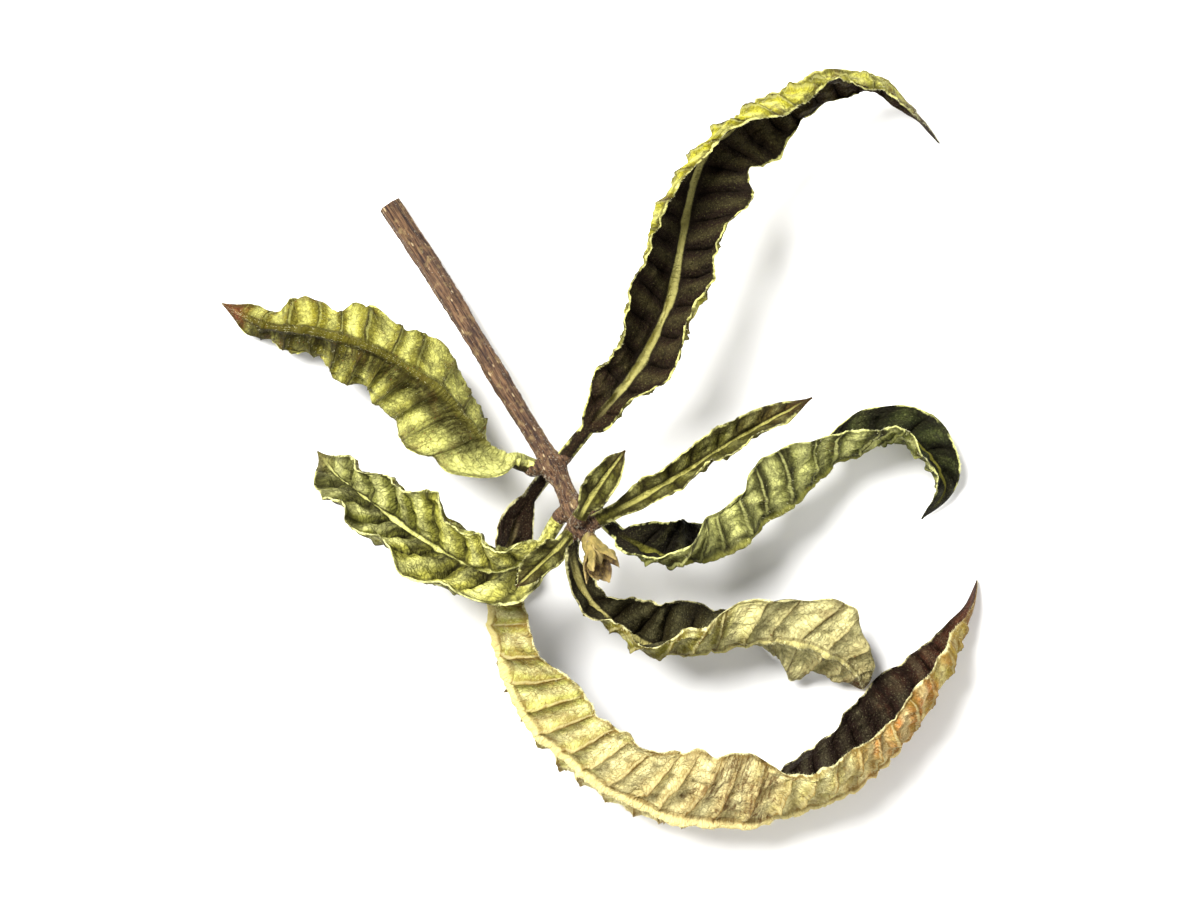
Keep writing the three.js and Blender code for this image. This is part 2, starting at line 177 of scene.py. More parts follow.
def joinArrays(parts):
    # points, faces and attributes of several meshes as those of one
    points, faces, attributes = [], [], {key: [] for key in parts[0][2]}
    count = 0
    for partPoints, partFaces, partAttributes in parts:
        points.append(partPoints)
        faces += [tuple(corner + count for corner in face) for face in partFaces]
        count += len(partPoints)
        for key, values in partAttributes.items():
            attributes[key].append(values)
    joined = {key: np.concatenate(values) for key, values in attributes.items()}
    return np.concatenate(points), faces, joined


leafForm = {
    "thickness": 0.32,
    "marginThickness": 0.13,
    "marginWidth": 0.5,
    "tipThinning": 0.6,
    "petioleThickness": 1.35,
    "petioleHalfWidth": 0.75,
    "tipHalfWidth": 0.35,
    "point": 0.3,  # how much of that is left at the very tip
    "pointRun": 1.8,
    "tipNarrowing": 0.45,
    "tipRun": 0.13,
    "openHalfWidth": 2.5,  # a blade at least this wide has its whole fold and curl
    "reliefHalfWidth": 3,  # and one this wide its whole relief
    "curlUneven": 0.1,
    "veinSpacing": 3.0,
    "veinLean": 0.36,
    "veinWander": 0.65,
    "veinUneven": 0.16,  # how far the spacing of the veins strays, as a share of it
    "swell": 0.4,  # how far the blade swells between two side veins
    "swellUneven": 0.45,
    "swellAtMargin": 0.07,  # share of the swelling that is left at the margin
    "veinRidge": 0.1,
    "veinRidgeWidth": 0.17,
    "midrib": 0.08,  # height of the midrib below, as a share of the half width
    "midribWidth": 0.42,
    "channel": 0.2,  # depth of the groove over the midrib
    "channelWidth": 0.28,
    "calm": 0.3,  # share of the half width beside the midrib where veins and swelling start
    "runOut": 0.12,  # share of the length at each end where all of this runs out
    "crumple": 0.34,
    "crumpleSize": (4.2, 3.1),
    "crease": 0.13,
    "creaseSize": (1.7, 1.2),
    "pleat": 0.2,  # wrinkles along the blade
    "pleatSpacing": 1.5,
    "crimp": 0.16,
    "rolledMargin": 12,  # degrees
    "scallop": 0.014,
    "ragged": 0.06,
    "rowsPerVein": 15,
    "rowCrowding": 0.075,  # rows stand closer at the side veins
    "columnWidth": 0.2,
    "columnCrowding": 0.08,  # and columns at the midrib and the margins
    "reachIntoStem": 0.9,
}


def halfWidthAt(leaf, share, length):
    petiole = leaf["petiole"] / length
    t = clamp01((share - petiole) / (1 - petiole))
    taper, widest = leaf["taper"], leaf["widest"]
    rise = taper * widest / (1 - widest)
    most = widest**rise * (1 - widest) ** taper
    blade = leaf["halfWidth"] * t**rise * (1 - t) ** taper / most
    blade = blade * blendTo(leafForm["tipNarrowing"], 1, smooth((1 - t) / leafForm["tipRun"]))
    stalk = blendTo(leafForm["petioleHalfWidth"], leafForm["tipHalfWidth"], share)
    toPoint = smooth(1 - (1 - share) * length / leafForm["pointRun"])
    stalk = stalk * blendTo(1, leafForm["point"], toPoint)
    return np.hypot(blade, stalk)


def leafSheets(leaf, spine, rowsPerVein, columnWidth):
    # the upper and the lower face of a blade as grids of points, and what its colours are drawn from
    form, seed, length = leafForm, leaf["seed"], spine.length

    # rows run from the base to the tip, with v counted in side veins
    veins = max(round(length / form["veinSpacing"]), 3)
    v = np.linspace(0, veins, veins * rowsPerVein + 1)[:, None]
    v = v - form["rowCrowding"] * np.sin(2 * np.pi * v)
    ends = smooth(v / 1.5) * smooth((veins - v) / 1.5)
    share = (v + form["veinUneven"] * noise(v * 0.55, 2.5, seed + 20) * ends) / veins

    # columns run from the left margin, -1, to the right one, 1
    halves = math.ceil(leaf["halfWidth"] / columnWidth)
    q = np.linspace(0, 1, halves + 1)
    q = q - form["columnCrowding"] * np.sin(2 * np.pi * q)
    side = np.concatenate([-q[:0:-1], q])[None, :]
    out, hand = np.abs(side), np.sign(side)
    inside = smooth(share / form["runOut"]) * smooth((1 - share) / form["runOut"])
    offMidrib = smooth(out / form["calm"])

    # side veins lean to the tip and wander, but never past the ends, where the line has no direction
    lean = form["veinLean"] * (0.85 * out + 0.25 * out**2) * halfWidthAt(leaf, share, length)
    wander = form["veinWander"] * leaf.get("wander", 1)
    wander = wander * noise(v * 0.8, hand * 5 + out * 1.3, seed) * offMidrib
    u = clamp01(share + (lean + wander) * inside / length)
    row = spine.along(u)
    s = u * length
    half = halfWidthAt(leaf, u, length)
    narrow = clamp01(half / form["reliefHalfWidth"]) * inside

    # the margin
    ragged = form["ragged"] * (noise(s / 1.9, hand * 4 + 9, seed + 1) - 0.6)
    scallop = -form["scallop"] * np.cos(2 * np.pi * v)
    scallop = scallop * (0.6 + noise(v * 0.7, hand * 3 + 60, seed + 22))
    nicks = sum(depth * bump(s - at * length, width) * (hand == way)
                for at, way, depth, width in leaf.get("nicks", ()))
    reach = half * (1 + ((ragged + scallop) * narrow - nicks) * out**3)

    forward = spine.tangent(u)
    level, rightward = squareTo(forward)
    roll = np.radians(row[..., 3:4])
    normal = level * np.cos(roll) + rightward * np.sin(roll)
    across = rightward * np.cos(roll) - level * np.sin(roll)

    # each half folds up at the midrib and curls in an arc
    opened = smooth(half / form["openHalfWidth"])
    fold = math.radians(leaf["fold"]) * opened
    curl = np.where(side < 0, row[..., 4], row[..., 5])
    curl = curl * (1 + form["curlUneven"] * noise(s / 5, hand * 3 + 20, seed + 2))
    curl = np.maximum(np.radians(curl) * opened, 0.001)
    rolled = form["rolledMargin"] * smooth((out - 0.72) / 0.28) * noise(s / 6, hand * 8 + 50, seed + 12)
    angle = fold + curl * out + np.radians(rolled) * opened * inside
    sideways = (reach / curl) * (np.sin(angle) - np.sin(fold)) * hand
    raised = (reach / curl) * (np.cos(fold) - np.cos(angle))
    facing = normal * np.cos(angle)[..., None] - across * (np.sin(angle) * hand)[..., None]
    t = reach * out * hand  # millimetres from the midrib

    # its relief, from the long waves to the fine crimp
    phase = np.where(side < 0, 0.1, 0.45)
    waves = leaf["waves"] * np.where(side < 0, 1, 1.15)
    wave = leaf["wave"] * out**2.2 * np.sin(2 * np.pi * (waves * share + phase))
    puff = 2 * np.abs(np.sin(np.pi * v)) ** 0.6 - 1
    puff = puff * (1 + 0.3 * noise(v * 0.9, hand * 3 + 40, seed + 15))
    swell = form["swell"] * puff * offMidrib
    swell = swell * blendTo(1, form["swellAtMargin"], smooth((out - 0.55) / 0.42))
    swell = swell * (1 + form["swellUneven"] * noise(v * 0.4 + 7, hand * 2 + out * 1.1, seed + 21))
    along, acrossBlade = form["crumpleSize"]
    crumple = form["crumple"] * layers(s / along, t / acrossBlade, seed + 3)
    along, acrossBlade = form["creaseSize"]
    crease = form["crease"] * (1 - 3 * np.abs(layers(s / along, t / acrossBlade, seed + 6)))
    pleatLine = t / form["pleatSpacing"] + 0.8 * noise(s / 6, hand * 2 + 70, seed + 13)
    pleat = form["pleat"] * (1 - 2 * np.abs(noise(s / 7, pleatLine, seed + 14)) ** 0.7)
    pleat = pleat * smooth(out / 0.2)
    crimp = form["crimp"] * out**4 * layers(s / 1.5, hand * 6 + 30, seed + 9)
    rise = swell * clamp01(half / 4) * inside + (wave + crumple + crease + pleat + crimp) * narrow
    middle = (row[..., :3] + across * sideways[..., None] + normal * raised[..., None]
              + facing * rise[..., None])

    # a round petiole runs out into the thin blade
    petiole = leaf["petiole"] / length
    blade = smooth((share - petiole * 0.4) / (petiole * 1.4))
    stalkThick = form["petioleThickness"] * np.sqrt(np.maximum(1 - out**2, 0.06))
    rim = reach * (1 - out)
    bladeThick = blendTo(form["marginThickness"], form["thickness"], smooth(rim / form["marginWidth"]))
    fromTip = (1 - share) * length
    bladeThick = bladeThick * blendTo(form["tipThinning"], 1, smooth(fromTip / form["pointRun"]))
    thick = blendTo(stalkThick, bladeThick, blade)
    toTip = smooth((1 - share) / 0.3)
    midrib = form["midrib"] * leaf["halfWidth"] * toTip * bump(t, form["midribWidth"])
    fromVein = np.abs(v - np.round(v)) * form["veinSpacing"]
    ridge = form["veinRidge"] * bump(fromVein, form["veinRidgeWidth"]) * (1 - 0.75 * out)
    ridge = ridge * clamp01(half / form["reliefHalfWidth"]) * inside
    channel = form["channel"] * bump(t, form["channelWidth"]) * toTip * blade
    top = middle + facing * (thick / 2 - channel - 0.5 * ridge)[..., None]
    under = middle - facing * (thick / 2 + midrib + ridge)[..., None]

    # the first rows are drawn back into the cushion on the stem, and nothing goes below the table
    heading = spine.tangent(np.array([0.0]))[0]
    for sheet in (top, under):
        sheet[0] -= heading * form["reachIntoStem"]
        sheet[1] = (sheet[0] + sheet[2]) / 2
    sunk = np.minimum(np.minimum(top[..., 2], under[..., 2]), 0)
    top[..., 2] -= sunk
    under[..., 2] -= sunk

    full = np.broadcast_to
    shape = top.shape[:2]
    leafMap = np.stack([full(v, shape), t, full(share, shape)], -1)
    leafSpot = np.stack([s + seed * 7.3, t, full(rim, shape)], -1)
    return top, under, leafMap, leafSpot


def leafArrays(leaf, rowsPerVein, columnWidth, hairsPerMillimetre=0):
    spine = Spine(leaf["line"])
    top, under, leafMap, leafSpot = leafSheets(leaf, spine, rowsPerVein, columnWidth)
    rows, columns = top.shape[:2]
    sheets = np.concatenate([top.reshape(-1, 3), under.reshape(-1, 3)])
    attributes = {
        "leafMap": np.tile(leafMap.reshape(-1, 3), (2, 1)),
        "leafSpot": np.tile(leafSpot.reshape(-1, 3), (2, 1)),
        "below": np.repeat([0.0, 1.0], rows * columns),
        "hair": np.zeros(2 * rows * columns),
    }
    parts = [(sheets, sheetFaces(rows, columns), attributes)]
    if hairsPerMillimetre:
        hairs = round(hairsPerMillimetre * spine.length)
        parts.append(leafHairs(top, under, attributes, hairs, leaf["seed"]))
    points, faces, attributes = joinArrays(parts)
    return np.clip(points + knot, boxLow, boxHigh), faces, attributes


hairForm = {
    "shortest": 0.14,
    "longest": 0.36,
    "radius": 0.017,
    "sunk": 0.03,  # how deep the foot sits in the skin
    "lean": 0.6,
    "leafHairsPerMillimetre": 34,
    "onMargin": 0.4,  # share of a leaf's hairs along its margins
    "onMidrib": 0.2,
    "stemHairs": 1500,
    "leafColour": (232, 228, 178),
    "stemColour": (226, 218, 190),
}


def hairSpikes(roots, outward, forward, random):
    # stiff hairs that lean forward, each a closed spike with three sides
    count = len(roots)
    aim = unit(outward + hairForm["lean"] * forward + random.normal(0, 0.3, (count, 3)))
    one = unit(np.cross(aim, [0.31, 0.52, 0.79]))
    two = np.cross(aim, one)
    foot = roots - outward * hairForm["sunk"]
    ring = [foot + hairForm["radius"] * (one * math.cos(turn) + two * math.sin(turn))
            for turn in (0, 2 * math.pi / 3, 4 * math.pi / 3)]
    tip = foot + aim * random.uniform(hairForm["shortest"], hairForm["longest"], (count, 1))
    points = np.stack([*ring, tip], 1).reshape(-1, 3)
    faces = [(4 * k + a, 4 * k + b, 4 * k + c) for k in range(count)
             for a, b, c in ((0, 2, 1), (0, 1, 3), (1, 2, 3), (2, 0, 3))]
    return points, faces


def leafHairs(top, under, attributes, count, seed):
    # on the lower face, and more of them on the margins and the midrib
    random = np.random.default_rng(seed + 500)
    rows, columns = top.shape[:2]
    i = random.integers(3, rows - 2, count)
    j = random.integers(2, columns - 2, count)
    kind = random.uniform(0, 1, count)
    onMargin = kind < hairForm["onMargin"]
    onMidrib = ~onMargin & (kind < hairForm["onMargin"] + hairForm["onMidrib"])
    j = np.where(onMidrib, columns // 2 + random.integers(-1, 2, count), j)
    j = np.where(onMargin, np.where(random.uniform(0, 1, count) < 0.5, 0, columns - 1), j)
    roots = np.where(onMargin[:, None], (top[i, j] + under[i, j]) / 2, under[i, j])
    inwardStep = np.where(j == 0, 1, -1)
    outAtMargin = unit(top[i, j] - top[i, j + inwardStep])
    outBelow = unit(under[i, j] - top[i, j])
    outward = np.where(onMargin[:, None], outAtMargin, outBelow)
    forward = unit(top[i + 1, j] - top[i, j])
    points, faces = hairSpikes(roots, outward, forward, random)
    place = (i + rows) * columns + j
    own = {key: np.repeat(values[place], 4, axis=0) for key, values in attributes.items()}
    own["hair"] = np.ones(4 * count)
    return points, faces, own


# Each row of a line holds x, y, z of the midrib from the knot, its roll, and how far the left and the
# right half curl up. A nick holds its share of the length, its side, its depth and its width.
leaves = [
    {
        "name": "gutterLeaf",
        "node": "lower_leaf_1",
        "slot": "leaf_olive",
        "halfWidth": 6.5, "widest": 0.38, "taper": 0.95, "petiole": 3.5,
        "fold": 8, "wave": 0.7, "waves": 6.5, "seed": 11,
        "nicks": [(0.3, 1, 0.12, 1.2), (0.52, -1, 0.1, 0.8), (0.7, 1, 0.14, 1.0)],
        "line": [
            [0.2, 4.2, 8.9, 0, 50, 50],
            [3.2, 7.8, 9.8, 0, 66, 64],
            [7.2, 12.6, 10.2, -4, 80, 74],
            [10.6, 19.2, 10.4, -4, 84, 78],
            [12.0, 26.0, 10.8, 4, 84, 86],
            [13.4, 32.4, 11.6, 28, 82, 98],
            [16.6, 37.4, 11.4, 60, 72, 96],
            [21.8, 40.8, 9.8, 74, 64, 88],
            [27.4, 43.0, 7.6, 78, 56, 74],
            [32.4, 42.8, 5.2, 82, 50, 54],
            [36.4, 39.8, 2.6, 80, 40, 40],
            [39.2, 36.8, 0.5, 75, 30, 30],
        ],
    },
    {
        "name": "turnedLeaf",
        "node": "lower_leaf_2",
        "slot": "leaf_pale",
        "halfWidth": 6.6, "widest": 0.34, "taper": 0.9, "petiole": 1.8,
        "fold": 14, "wave": 0.6, "waves": 5, "seed": 23,
        "nicks": [(0.45, 1, 0.12, 0.9), (0.66, -1, 0.1, 0.8)],
        "line": [
            [-3.7, 2.9, 9.1, -50, 30, 30],
            [-7.0, 4.2, 10.2, -110, 45, 45],
            [-10.0, 7.6, 10.8, -150, 52, 48],
            [-13.8, 11.4, 10.6, -168, 58, 48],
            [-19.4, 14.8, 9.2, -178, 62, 52],
            [-25.6, 16.8, 6.6, -185, 60, 55],
            [-31.2, 17.6, 3.6, -190, 50, 50],
            [-36.0, 20.0, 0.5, -190, 30, 30],
        ],
    },
    {
        "name": "tanLeaf",
        "node": "lower_leaf_3",
        "slot": "leaf_tan",
        "halfWidth": 8.3, "widest": 0.5, "taper": 0.62, "petiole": 3.5,
        "fold": 4, "wave": 0.9, "waves": 5.5, "seed": 38,
        "nicks": [(0.36, 1, 0.1, 1.4), (0.5, -1, 0.14, 1.1), (0.64, 1, 0.12, 0.9)],
        "line": [
            [-1.7, 2.4, 6.6, 0, 30, 30],
            [-5.0, -2.6, 5.3, -30, 40, 40],
            [-7.6, -10.4, 5.0, -80, 60, 60],
            [-6.0, -18.4, 6.4, -110, 75, 45],
            [-0.2, -26.8, 7.2, -125, 85, 40],
            [8.6, -32.2, 7.4, -128, 88, 38],
            [18.0, -33.6, 6.8, -114, 80, 50],
            [27.0, -31.4, 5.6, -84, 70, 76],
            [34.4, -25.8, 4.6, -70, 64, 84],
            [39.6, -18.6, 3.2, -68, 58, 76],
            [42.0, -13.4, 1.8, -72, 50, 60],
            [43.2, -9.0, 0.4, -80, 30, 30],
        ],
    },
    {
        "name": "twistedLeaf",
        "node": "upper_leaf_1",
        "slot": "leaf_olive",
        "halfWidth": 5.8, "widest": 0.36, "taper": 0.85, "petiole": 3.5,
        "fold": 8, "wave": 0.6, "waves": 6, "seed": 41,
        "nicks": [(0.245, -1, 0.14, 1.5), (0.4, 1, 0.12, 0.8), (0.6, -1, 0.12, 0.8)],
        "line": [
            [3.2, -1.6, 10.7, 0, 45, 45],
            [6.2, -4.4, 11.2, -10, 55, 55],
            [10.4, -6.4, 10.8, -52, 70, 72],
            [15.6, -5.8, 9.8, -96, 80, 80],
            [22.0, -1.4, 8.2, -104, 78, 75],
            [27.6, 3.2, 6.6, -88, 70, 70],
            [33.2, 5.8, 4.8, -62, 60, 60],
            [37.6, 4.6, 3.4, -42, 50, 50],
            [39.6, 0.6, 1.9, -38, 40, 40],
            [37.4, -2.6, 0.4, -45, 25, 25],
        ],
    },
    {
        "name": "broadLeaf",
        "node": "upper_leaf_2",
        "slot": "leaf_pale",
        "halfWidth": 6.4, "widest": 0.38, "taper": 0.9, "petiole": 2.8,
        "fold": 36, "wave": 0.7, "waves": 4.5, "seed": 53,
        "nicks": [(0.38, 1, 0.1, 1.0), (0.58, -1, 0.12, 0.9)],
        "line": [
            [-0.7, -2.6, 10.9, 0, 30, 30],
            [-3.2, -6.2, 10.9, 0, 30, 30],
            [-8.0, -7.8, 9.8, 4, 32, 32],
            [-14.0, -5.0, 7.6, 8, 32, 32],
            [-19.6, -1.2, 5.0, 8, 30, 30],
            [-23.6, 1.8, 2.6, 4, 26, 26],
            [-26.0, 4.5, 0.3, 0, 20, 20],
        ],
    },
    {
        "name": "humpedLeaf",
        "node": "upper_leaf_3",
        "slot": "leaf_olive",
        "halfWidth": 6.2, "widest": 0.6, "taper": 0.6, "petiole": 3.5,
        "fold": 8, "wave": 0.7, "waves": 6, "seed": 61,
        "nicks": [(0.42, 1, 0.12, 0.9), (0.55, -1, 0.12, 0.9)],
        "line": [
            [1.2, -2.7, 9.1, 0, 40, 40],
            [0.9, -7.0, 8.8, -10, 60, 60],
            [3.2, -12.0, 8.4, -35, 75, 75],
            [8.6, -15.4, 8.0, -58, 80, 80],
            [14.6, -15.6, 7.4, -76, 60, 76],
            [19.6, -14.8, 7.6, -110, 40, 56],
            [24.2, -15.0, 7.0, -144, 30, 40],
            [28.0, -16.8, 5.2, -158, 28, 34],
            [30.4, -18.8, 2.8, -166, 28, 32],
            [31.2, -20.4, 0.6, -168, 28, 28],
        ],
    },
    {
        "name": "youngLeafLong",
        "node": "young_leaf_1",
        "slot": "leaf_young",
        "halfWidth": 2.3, "widest": 0.45, "taper": 0.95, "petiole": 2.5,
        "fold": 12, "wave": 0.25, "waves": 3.5, "seed": 71,
        "line": [
            [3.4, -2.5, 12.8, 0, 40, 40],
            [7.4, -0.4, 14.3, 0, 60, 60],
            [13.0, 2.8, 13.6, -15, 65, 65],
            [19.0, 6.6, 12.0, -25, 60, 60],
            [25.4, 10.0, 10.2, -30, 40, 40],
        ],
    },
    {
        "name": "youngLeafBack",
        "node": "young_leaf_2",
        "slot": "leaf_young",
        "halfWidth": 1.7, "widest": 0.4, "taper": 0.95, "petiole": 1.5,
        "fold": 12, "wave": 0.2, "waves": 2, "seed": 83,
        "line": [
            [1.6, -2.1, 13.9, 10, 40, 40],
            [2.3, -0.8, 15.2, 10, 50, 50],
            [4.0, 1.7, 16.1, 5, 50, 50],
            [6.2, 4.6, 15.8, 0, 35, 35],
        ],
    },
    {
        "name": "youngLeafLeft",
        "node": "young_leaf_3",
        "slot": "leaf_young",
        "halfWidth": 1.7, "widest": 0.4, "taper": 0.95, "petiole": 1.5,
        "fold": 12, "wave": 0.2, "waves": 2, "seed": 97,
        "line": [
            [0.4, -4.2, 13.0, 0, 40, 40],
            [-0.7, -5.4, 14.4, 5, 50, 50],
            [-2.6, -7.2, 15.4, 15, 50, 50],
            [-4.8, -9.2, 15.4, 20, 35, 35],
        ],
    },
]


def colour(red, green, blue):
    # a screen colour from 0 to 255 as the linear light that shaders take
    def linear(value):
        value /= 255
        return value / 12.92 if value <= 0.04045 else ((value + 0.055) / 1.055) ** 2.4
    return (linear(red), linear(green), linear(blue), 1.0)


class Shading:
    # a material and short ways to add its nodes
    def __init__(self, name):
        self.material = bpy.data.materials.new(name)
        self.material.use_nodes = True
        self.tree = self.material.node_tree
        self.shader = self.tree.nodes["Principled BSDF"]

    def add(self, kind, inputs, output=0, **settings):
        made = self.tree.nodes.new(kind)
        for key, value in settings.items():
            setattr(made, key, value)
        for key, value in inputs.items():
            if isinstance(value, bpy.types.NodeSocket):
                self.tree.links.new(value, made.inputs[key])
            else:
                made.inputs[key].default_value = value
        return made.outputs[output]

    def attribute(self, name):
        return self.add("ShaderNodeAttribute", {}, "Vector", attribute_name=name)

    def amount(self, name):
        return self.add("ShaderNodeAttribute", {}, "Fac", attribute_name=name)

    def parts(self, vector):
        made = self.tree.nodes.new("ShaderNodeSeparateXYZ")
        self.tree.links.new(vector, made.inputs[0])
        return made.outputs

    def math(self, operation, a, b=0.0):
        return self.add("ShaderNodeMath", {0: a, 1: b}, operation=operation)

    def times(self, a, b):
        return self.math("MULTIPLY", a, b)

    def plus(self, a, b):
        return self.math("ADD", a, b)

    def minus(self, a, b):
        return self.math("SUBTRACT", a, b)

    def absolute(self, value):
        return self.math("ABSOLUTE", value)

    def scaled(self, vector, x, y, z):
        return self.add("ShaderNodeVectorMath", {0: vector, 1: (x, y, z)}, operation="MULTIPLY")

    def step(self, value, low, high, start=0.0, end=1.0):
        # goes smoothly from start to end as value goes from low to high
        inputs = {"Value": value, "From Min": low, "From Max": high, "To Min": start, "To Max": end}
        return self.add("ShaderNodeMapRange", inputs, interpolation_type="SMOOTHSTEP")

    def grain(self, vector, scale, detail, roughness):
        inputs = {"Vector": vector, "Scale": scale, "Detail": detail, "Roughness": roughness}
        return self.add("ShaderNodeTexNoise", inputs, "Fac")

    def cells(self, vector, scale, feature="DISTANCE_TO_EDGE"):
        return self.add("ShaderNodeTexVoronoi", {"Vector": vector, "Scale": scale}, "Distance",
                        feature=feature)

    def mix(self, share, a, b):
        made = self.tree.nodes.new("ShaderNodeMix")
        made.data_type = "RGBA"
        for socket, value in ((made.inputs["Factor"], share), (made.inputs[6], a), (made.inputs[7], b)):
            if isinstance(value, bpy.types.NodeSocket):
                self.tree.links.new(value, socket)
            else:
                socket.default_value = value
        return made.outputs[2]

    def ramp(self, value, stops):
        made = self.tree.nodes.new("ShaderNodeValToRGB")
        self.tree.links.new(value, made.inputs[0])
        points = made.color_ramp.elements
        points.remove(points[-1])
        for i, (place, tone) in enumerate(stops):
            point = points.new(place) if i else points[0]
            point.position, point.color = place, colour(*tone)
        return made.outputs[0]

    def warped(self, vector, scale, amount):
        # pushes the places of a pattern about by a soft noise
        inputs = {"Vector": vector, "Scale": scale, "Detail": 2.0}
        push = self.add("ShaderNodeTexNoise", inputs, "Color")
        return self.add("ShaderNodeVectorMath", {0: push, 1: (amount, amount, 0), 2: vector},
                        operation="MULTIPLY_ADD")

    def finish(self, baseColour, roughness, height, depth):
        # depth is the height of the relief in millimetres
        inputs = {"Height": height, "Strength": 1.0, "Distance": depth * millimetre}
        relief = self.add("ShaderNodeBump", inputs, "Normal")
        for key, value in (("Base Color", baseColour), ("Roughness", roughness), ("Normal", relief)):
            if isinstance(value, bpy.types.NodeSocket):
                self.tree.links.new(value, self.shader.inputs[key])
            else:
                self.shader.inputs[key].default_value = value
        return self.material


# What a leaf is coloured with from its base to its tip, as shares of the length and screen colours.
# Outer is its underside, inner the side that it curls round, which on most leaves is darkened as
# painted shade of that hollow. Bar and gap say how far the painted shadow at a side vein and its soft
# edge run, as shares of the space between two veins. The crowns are painted highlights, the furrow is
# painted shade along the fold, and rim is the pale of the worn margin, of the fine specks and of the
# painted highlights.
leafLooks = {
    "gutterLeaf": {
        "outer": [(0.1, (150, 146, 54)), (0.42, (198, 191, 46)), (0.6, (210, 202, 50)),
                  (0.84, (204, 199, 88)), (0.93, (122, 88, 40)), (0.98, (72, 42, 26))],
        "inner": [(0.1, (44, 28, 14)), (0.45, (32, 18, 12)), (0.66, (50, 38, 12)),
                  (0.93, (60, 36, 20))],
        "midrib": (202, 194, 116), "vein": (30, 22, 4), "deep": (24, 16, 6),
        "rim": (234, 230, 136), "browned": (96, 56, 28),
        "ribWidth": 0.42, "bar": 0.09, "gap": 0.3,
        "outerCrownHighlight": 0.66, "innerCrownHighlight": 0.05, "furrowAt": 0, "furrow": 0.2,
        "brownShare": 0.4, "scorchAt": 0, "scorch": 0,
    },
    "turnedLeaf": {
        "outer": [(0.1, (204, 204, 118)), (0.35, (164, 160, 70)), (0.62, (150, 142, 40)),
                  (0.88, (134, 122, 40)), (0.96, (120, 56, 34))],
        "inner": [(0.1, (60, 52, 22)), (0.9, (50, 38, 16)), (0.97, (92, 44, 26))],
        "midrib": (98, 90, 16), "vein": (38, 32, 0), "deep": (38, 32, 4),
        "rim": (238, 236, 132), "browned": (104, 66, 28),
        "ribWidth": 0.4, "bar": 0.09, "gap": 0.3,
        "outerCrownHighlight": 0.74, "innerCrownHighlight": 0.1, "furrowAt": 1.2, "furrow": 0.95,
        "brownShare": 0.3, "scorchAt": 0, "scorch": 0,
    },
    "tanLeaf": {
        "outer": [(0.12, (142, 144, 56)), (0.3, (208, 208, 112)), (0.4, (244, 232, 160)),
                  (0.56, (242, 222, 154)), (0.68, (228, 220, 138)), (0.8, (198, 124, 60)),
                  (0.87, (194, 174, 74)), (0.95, (122, 70, 36))],
        "inner": [(0.1, (44, 28, 16)), (0.6, (24, 12, 6)), (0.8, (30, 15, 8)),
                  (0.95, (76, 38, 20))],
        "midrib": (226, 208, 140), "vein": (116, 90, 34), "deep": (22, 10, 2),
        "rim": (252, 244, 180), "browned": (92, 60, 22),
        "ribWidth": 0.5, "bar": 0.09, "gap": 0.22,
        "outerCrownHighlight": 0.6, "innerCrownHighlight": 0.04, "furrowAt": 0, "furrow": 0,
        "brownShare": 0.45, "scorchAt": 0.56, "scorch": 0.8,
    },
    "twistedLeaf": {
        "outer": [(0.1, (104, 106, 36)), (0.28, (218, 218, 126)), (0.55, (198, 200, 106)),
                  (0.78, (140, 148, 56)), (0.93, (66, 72, 22))],
        "inner": [(0.1, (24, 16, 8)), (0.5, (26, 22, 8)), (0.8, (40, 50, 12)),
                  (0.95, (34, 32, 10))],
        "midrib": (140, 136, 54), "vein": (20, 16, 0), "deep": (16, 12, 2),
        "rim": (248, 248, 154), "browned": (82, 56, 26),
        "ribWidth": 0.4, "bar": 0.36, "gap": 0.44,
        "outerCrownHighlight": 0.95, "innerCrownHighlight": 0.04, "furrowAt": 0, "furrow": 0.3,
        "brownShare": 0.25, "scorchAt": 0, "scorch": 0,
    },
    "broadLeaf": {
        "outer": [(0.1, (138, 138, 48)), (0.5, (166, 164, 70)), (0.95, (132, 108, 44))],
        "inner": [(0.1, (246, 240, 122)), (0.3, (216, 210, 90)), (0.6, (146, 147, 58)),
                  (0.85, (170, 170, 92)), (0.97, (148, 138, 74))],
        "midrib": (224, 222, 138), "vein": (22, 18, 0), "deep": (22, 18, 0),
        "rim": (240, 238, 154), "browned": (104, 72, 28),
        "ribWidth": 0.4, "bar": 0.09, "gap": 0.36,
        "outerCrownHighlight": 0.6, "innerCrownHighlight": 0.7, "furrowAt": -1.1, "furrow": 0.8,
        "brownShare": 0.35, "scorchAt": 0, "scorch": 0,
    },
    "humpedLeaf": {
        "outer": [(0.1, (110, 106, 34)), (0.35, (160, 154, 54)), (0.5, (198, 190, 92)),
                  (0.62, (252, 243, 168)), (0.9, (250, 236, 164)), (0.97, (104, 68, 36))],
        "inner": [(0.1, (32, 28, 8)), (0.5, (50, 44, 14)), (0.9, (64, 48, 22))],
        "midrib": (214, 202, 124), "vein": (78, 64, 22), "deep": (26, 20, 4),
        "rim": (250, 242, 170), "browned": (108, 64, 30),
        "ribWidth": 0.42, "bar": 0.09, "gap": 0.26,
        "outerCrownHighlight": 0.78, "innerCrownHighlight": 0.08, "furrowAt": 0.8, "furrow": 0.2,
        "brownShare": 0.4, "scorchAt": 0, "scorch": 0,
    },
    "young": {
        "outer": [(0.1, (132, 128, 56)), (0.6, (150, 146, 60)), (0.95, (98, 70, 36))],
        "inner": [(0.1, (112, 108, 42)), (0.6, (104, 102, 36)), (0.95, (84, 58, 28))],
        "midrib": (182, 176, 96), "vein": (36, 30, 6), "deep": (34, 28, 6),
        "rim": (214, 210, 128), "browned": (92, 62, 30),
        "ribWidth": 0.26, "bar": 0.09, "gap": 0.3,
        "outerCrownHighlight": 0.5, "innerCrownHighlight": 0.35, "furrowAt": 0.5, "furrow": 0.35,
        "brownShare": 0.3, "scorchAt": 0, "scorch": 0,
    },
}


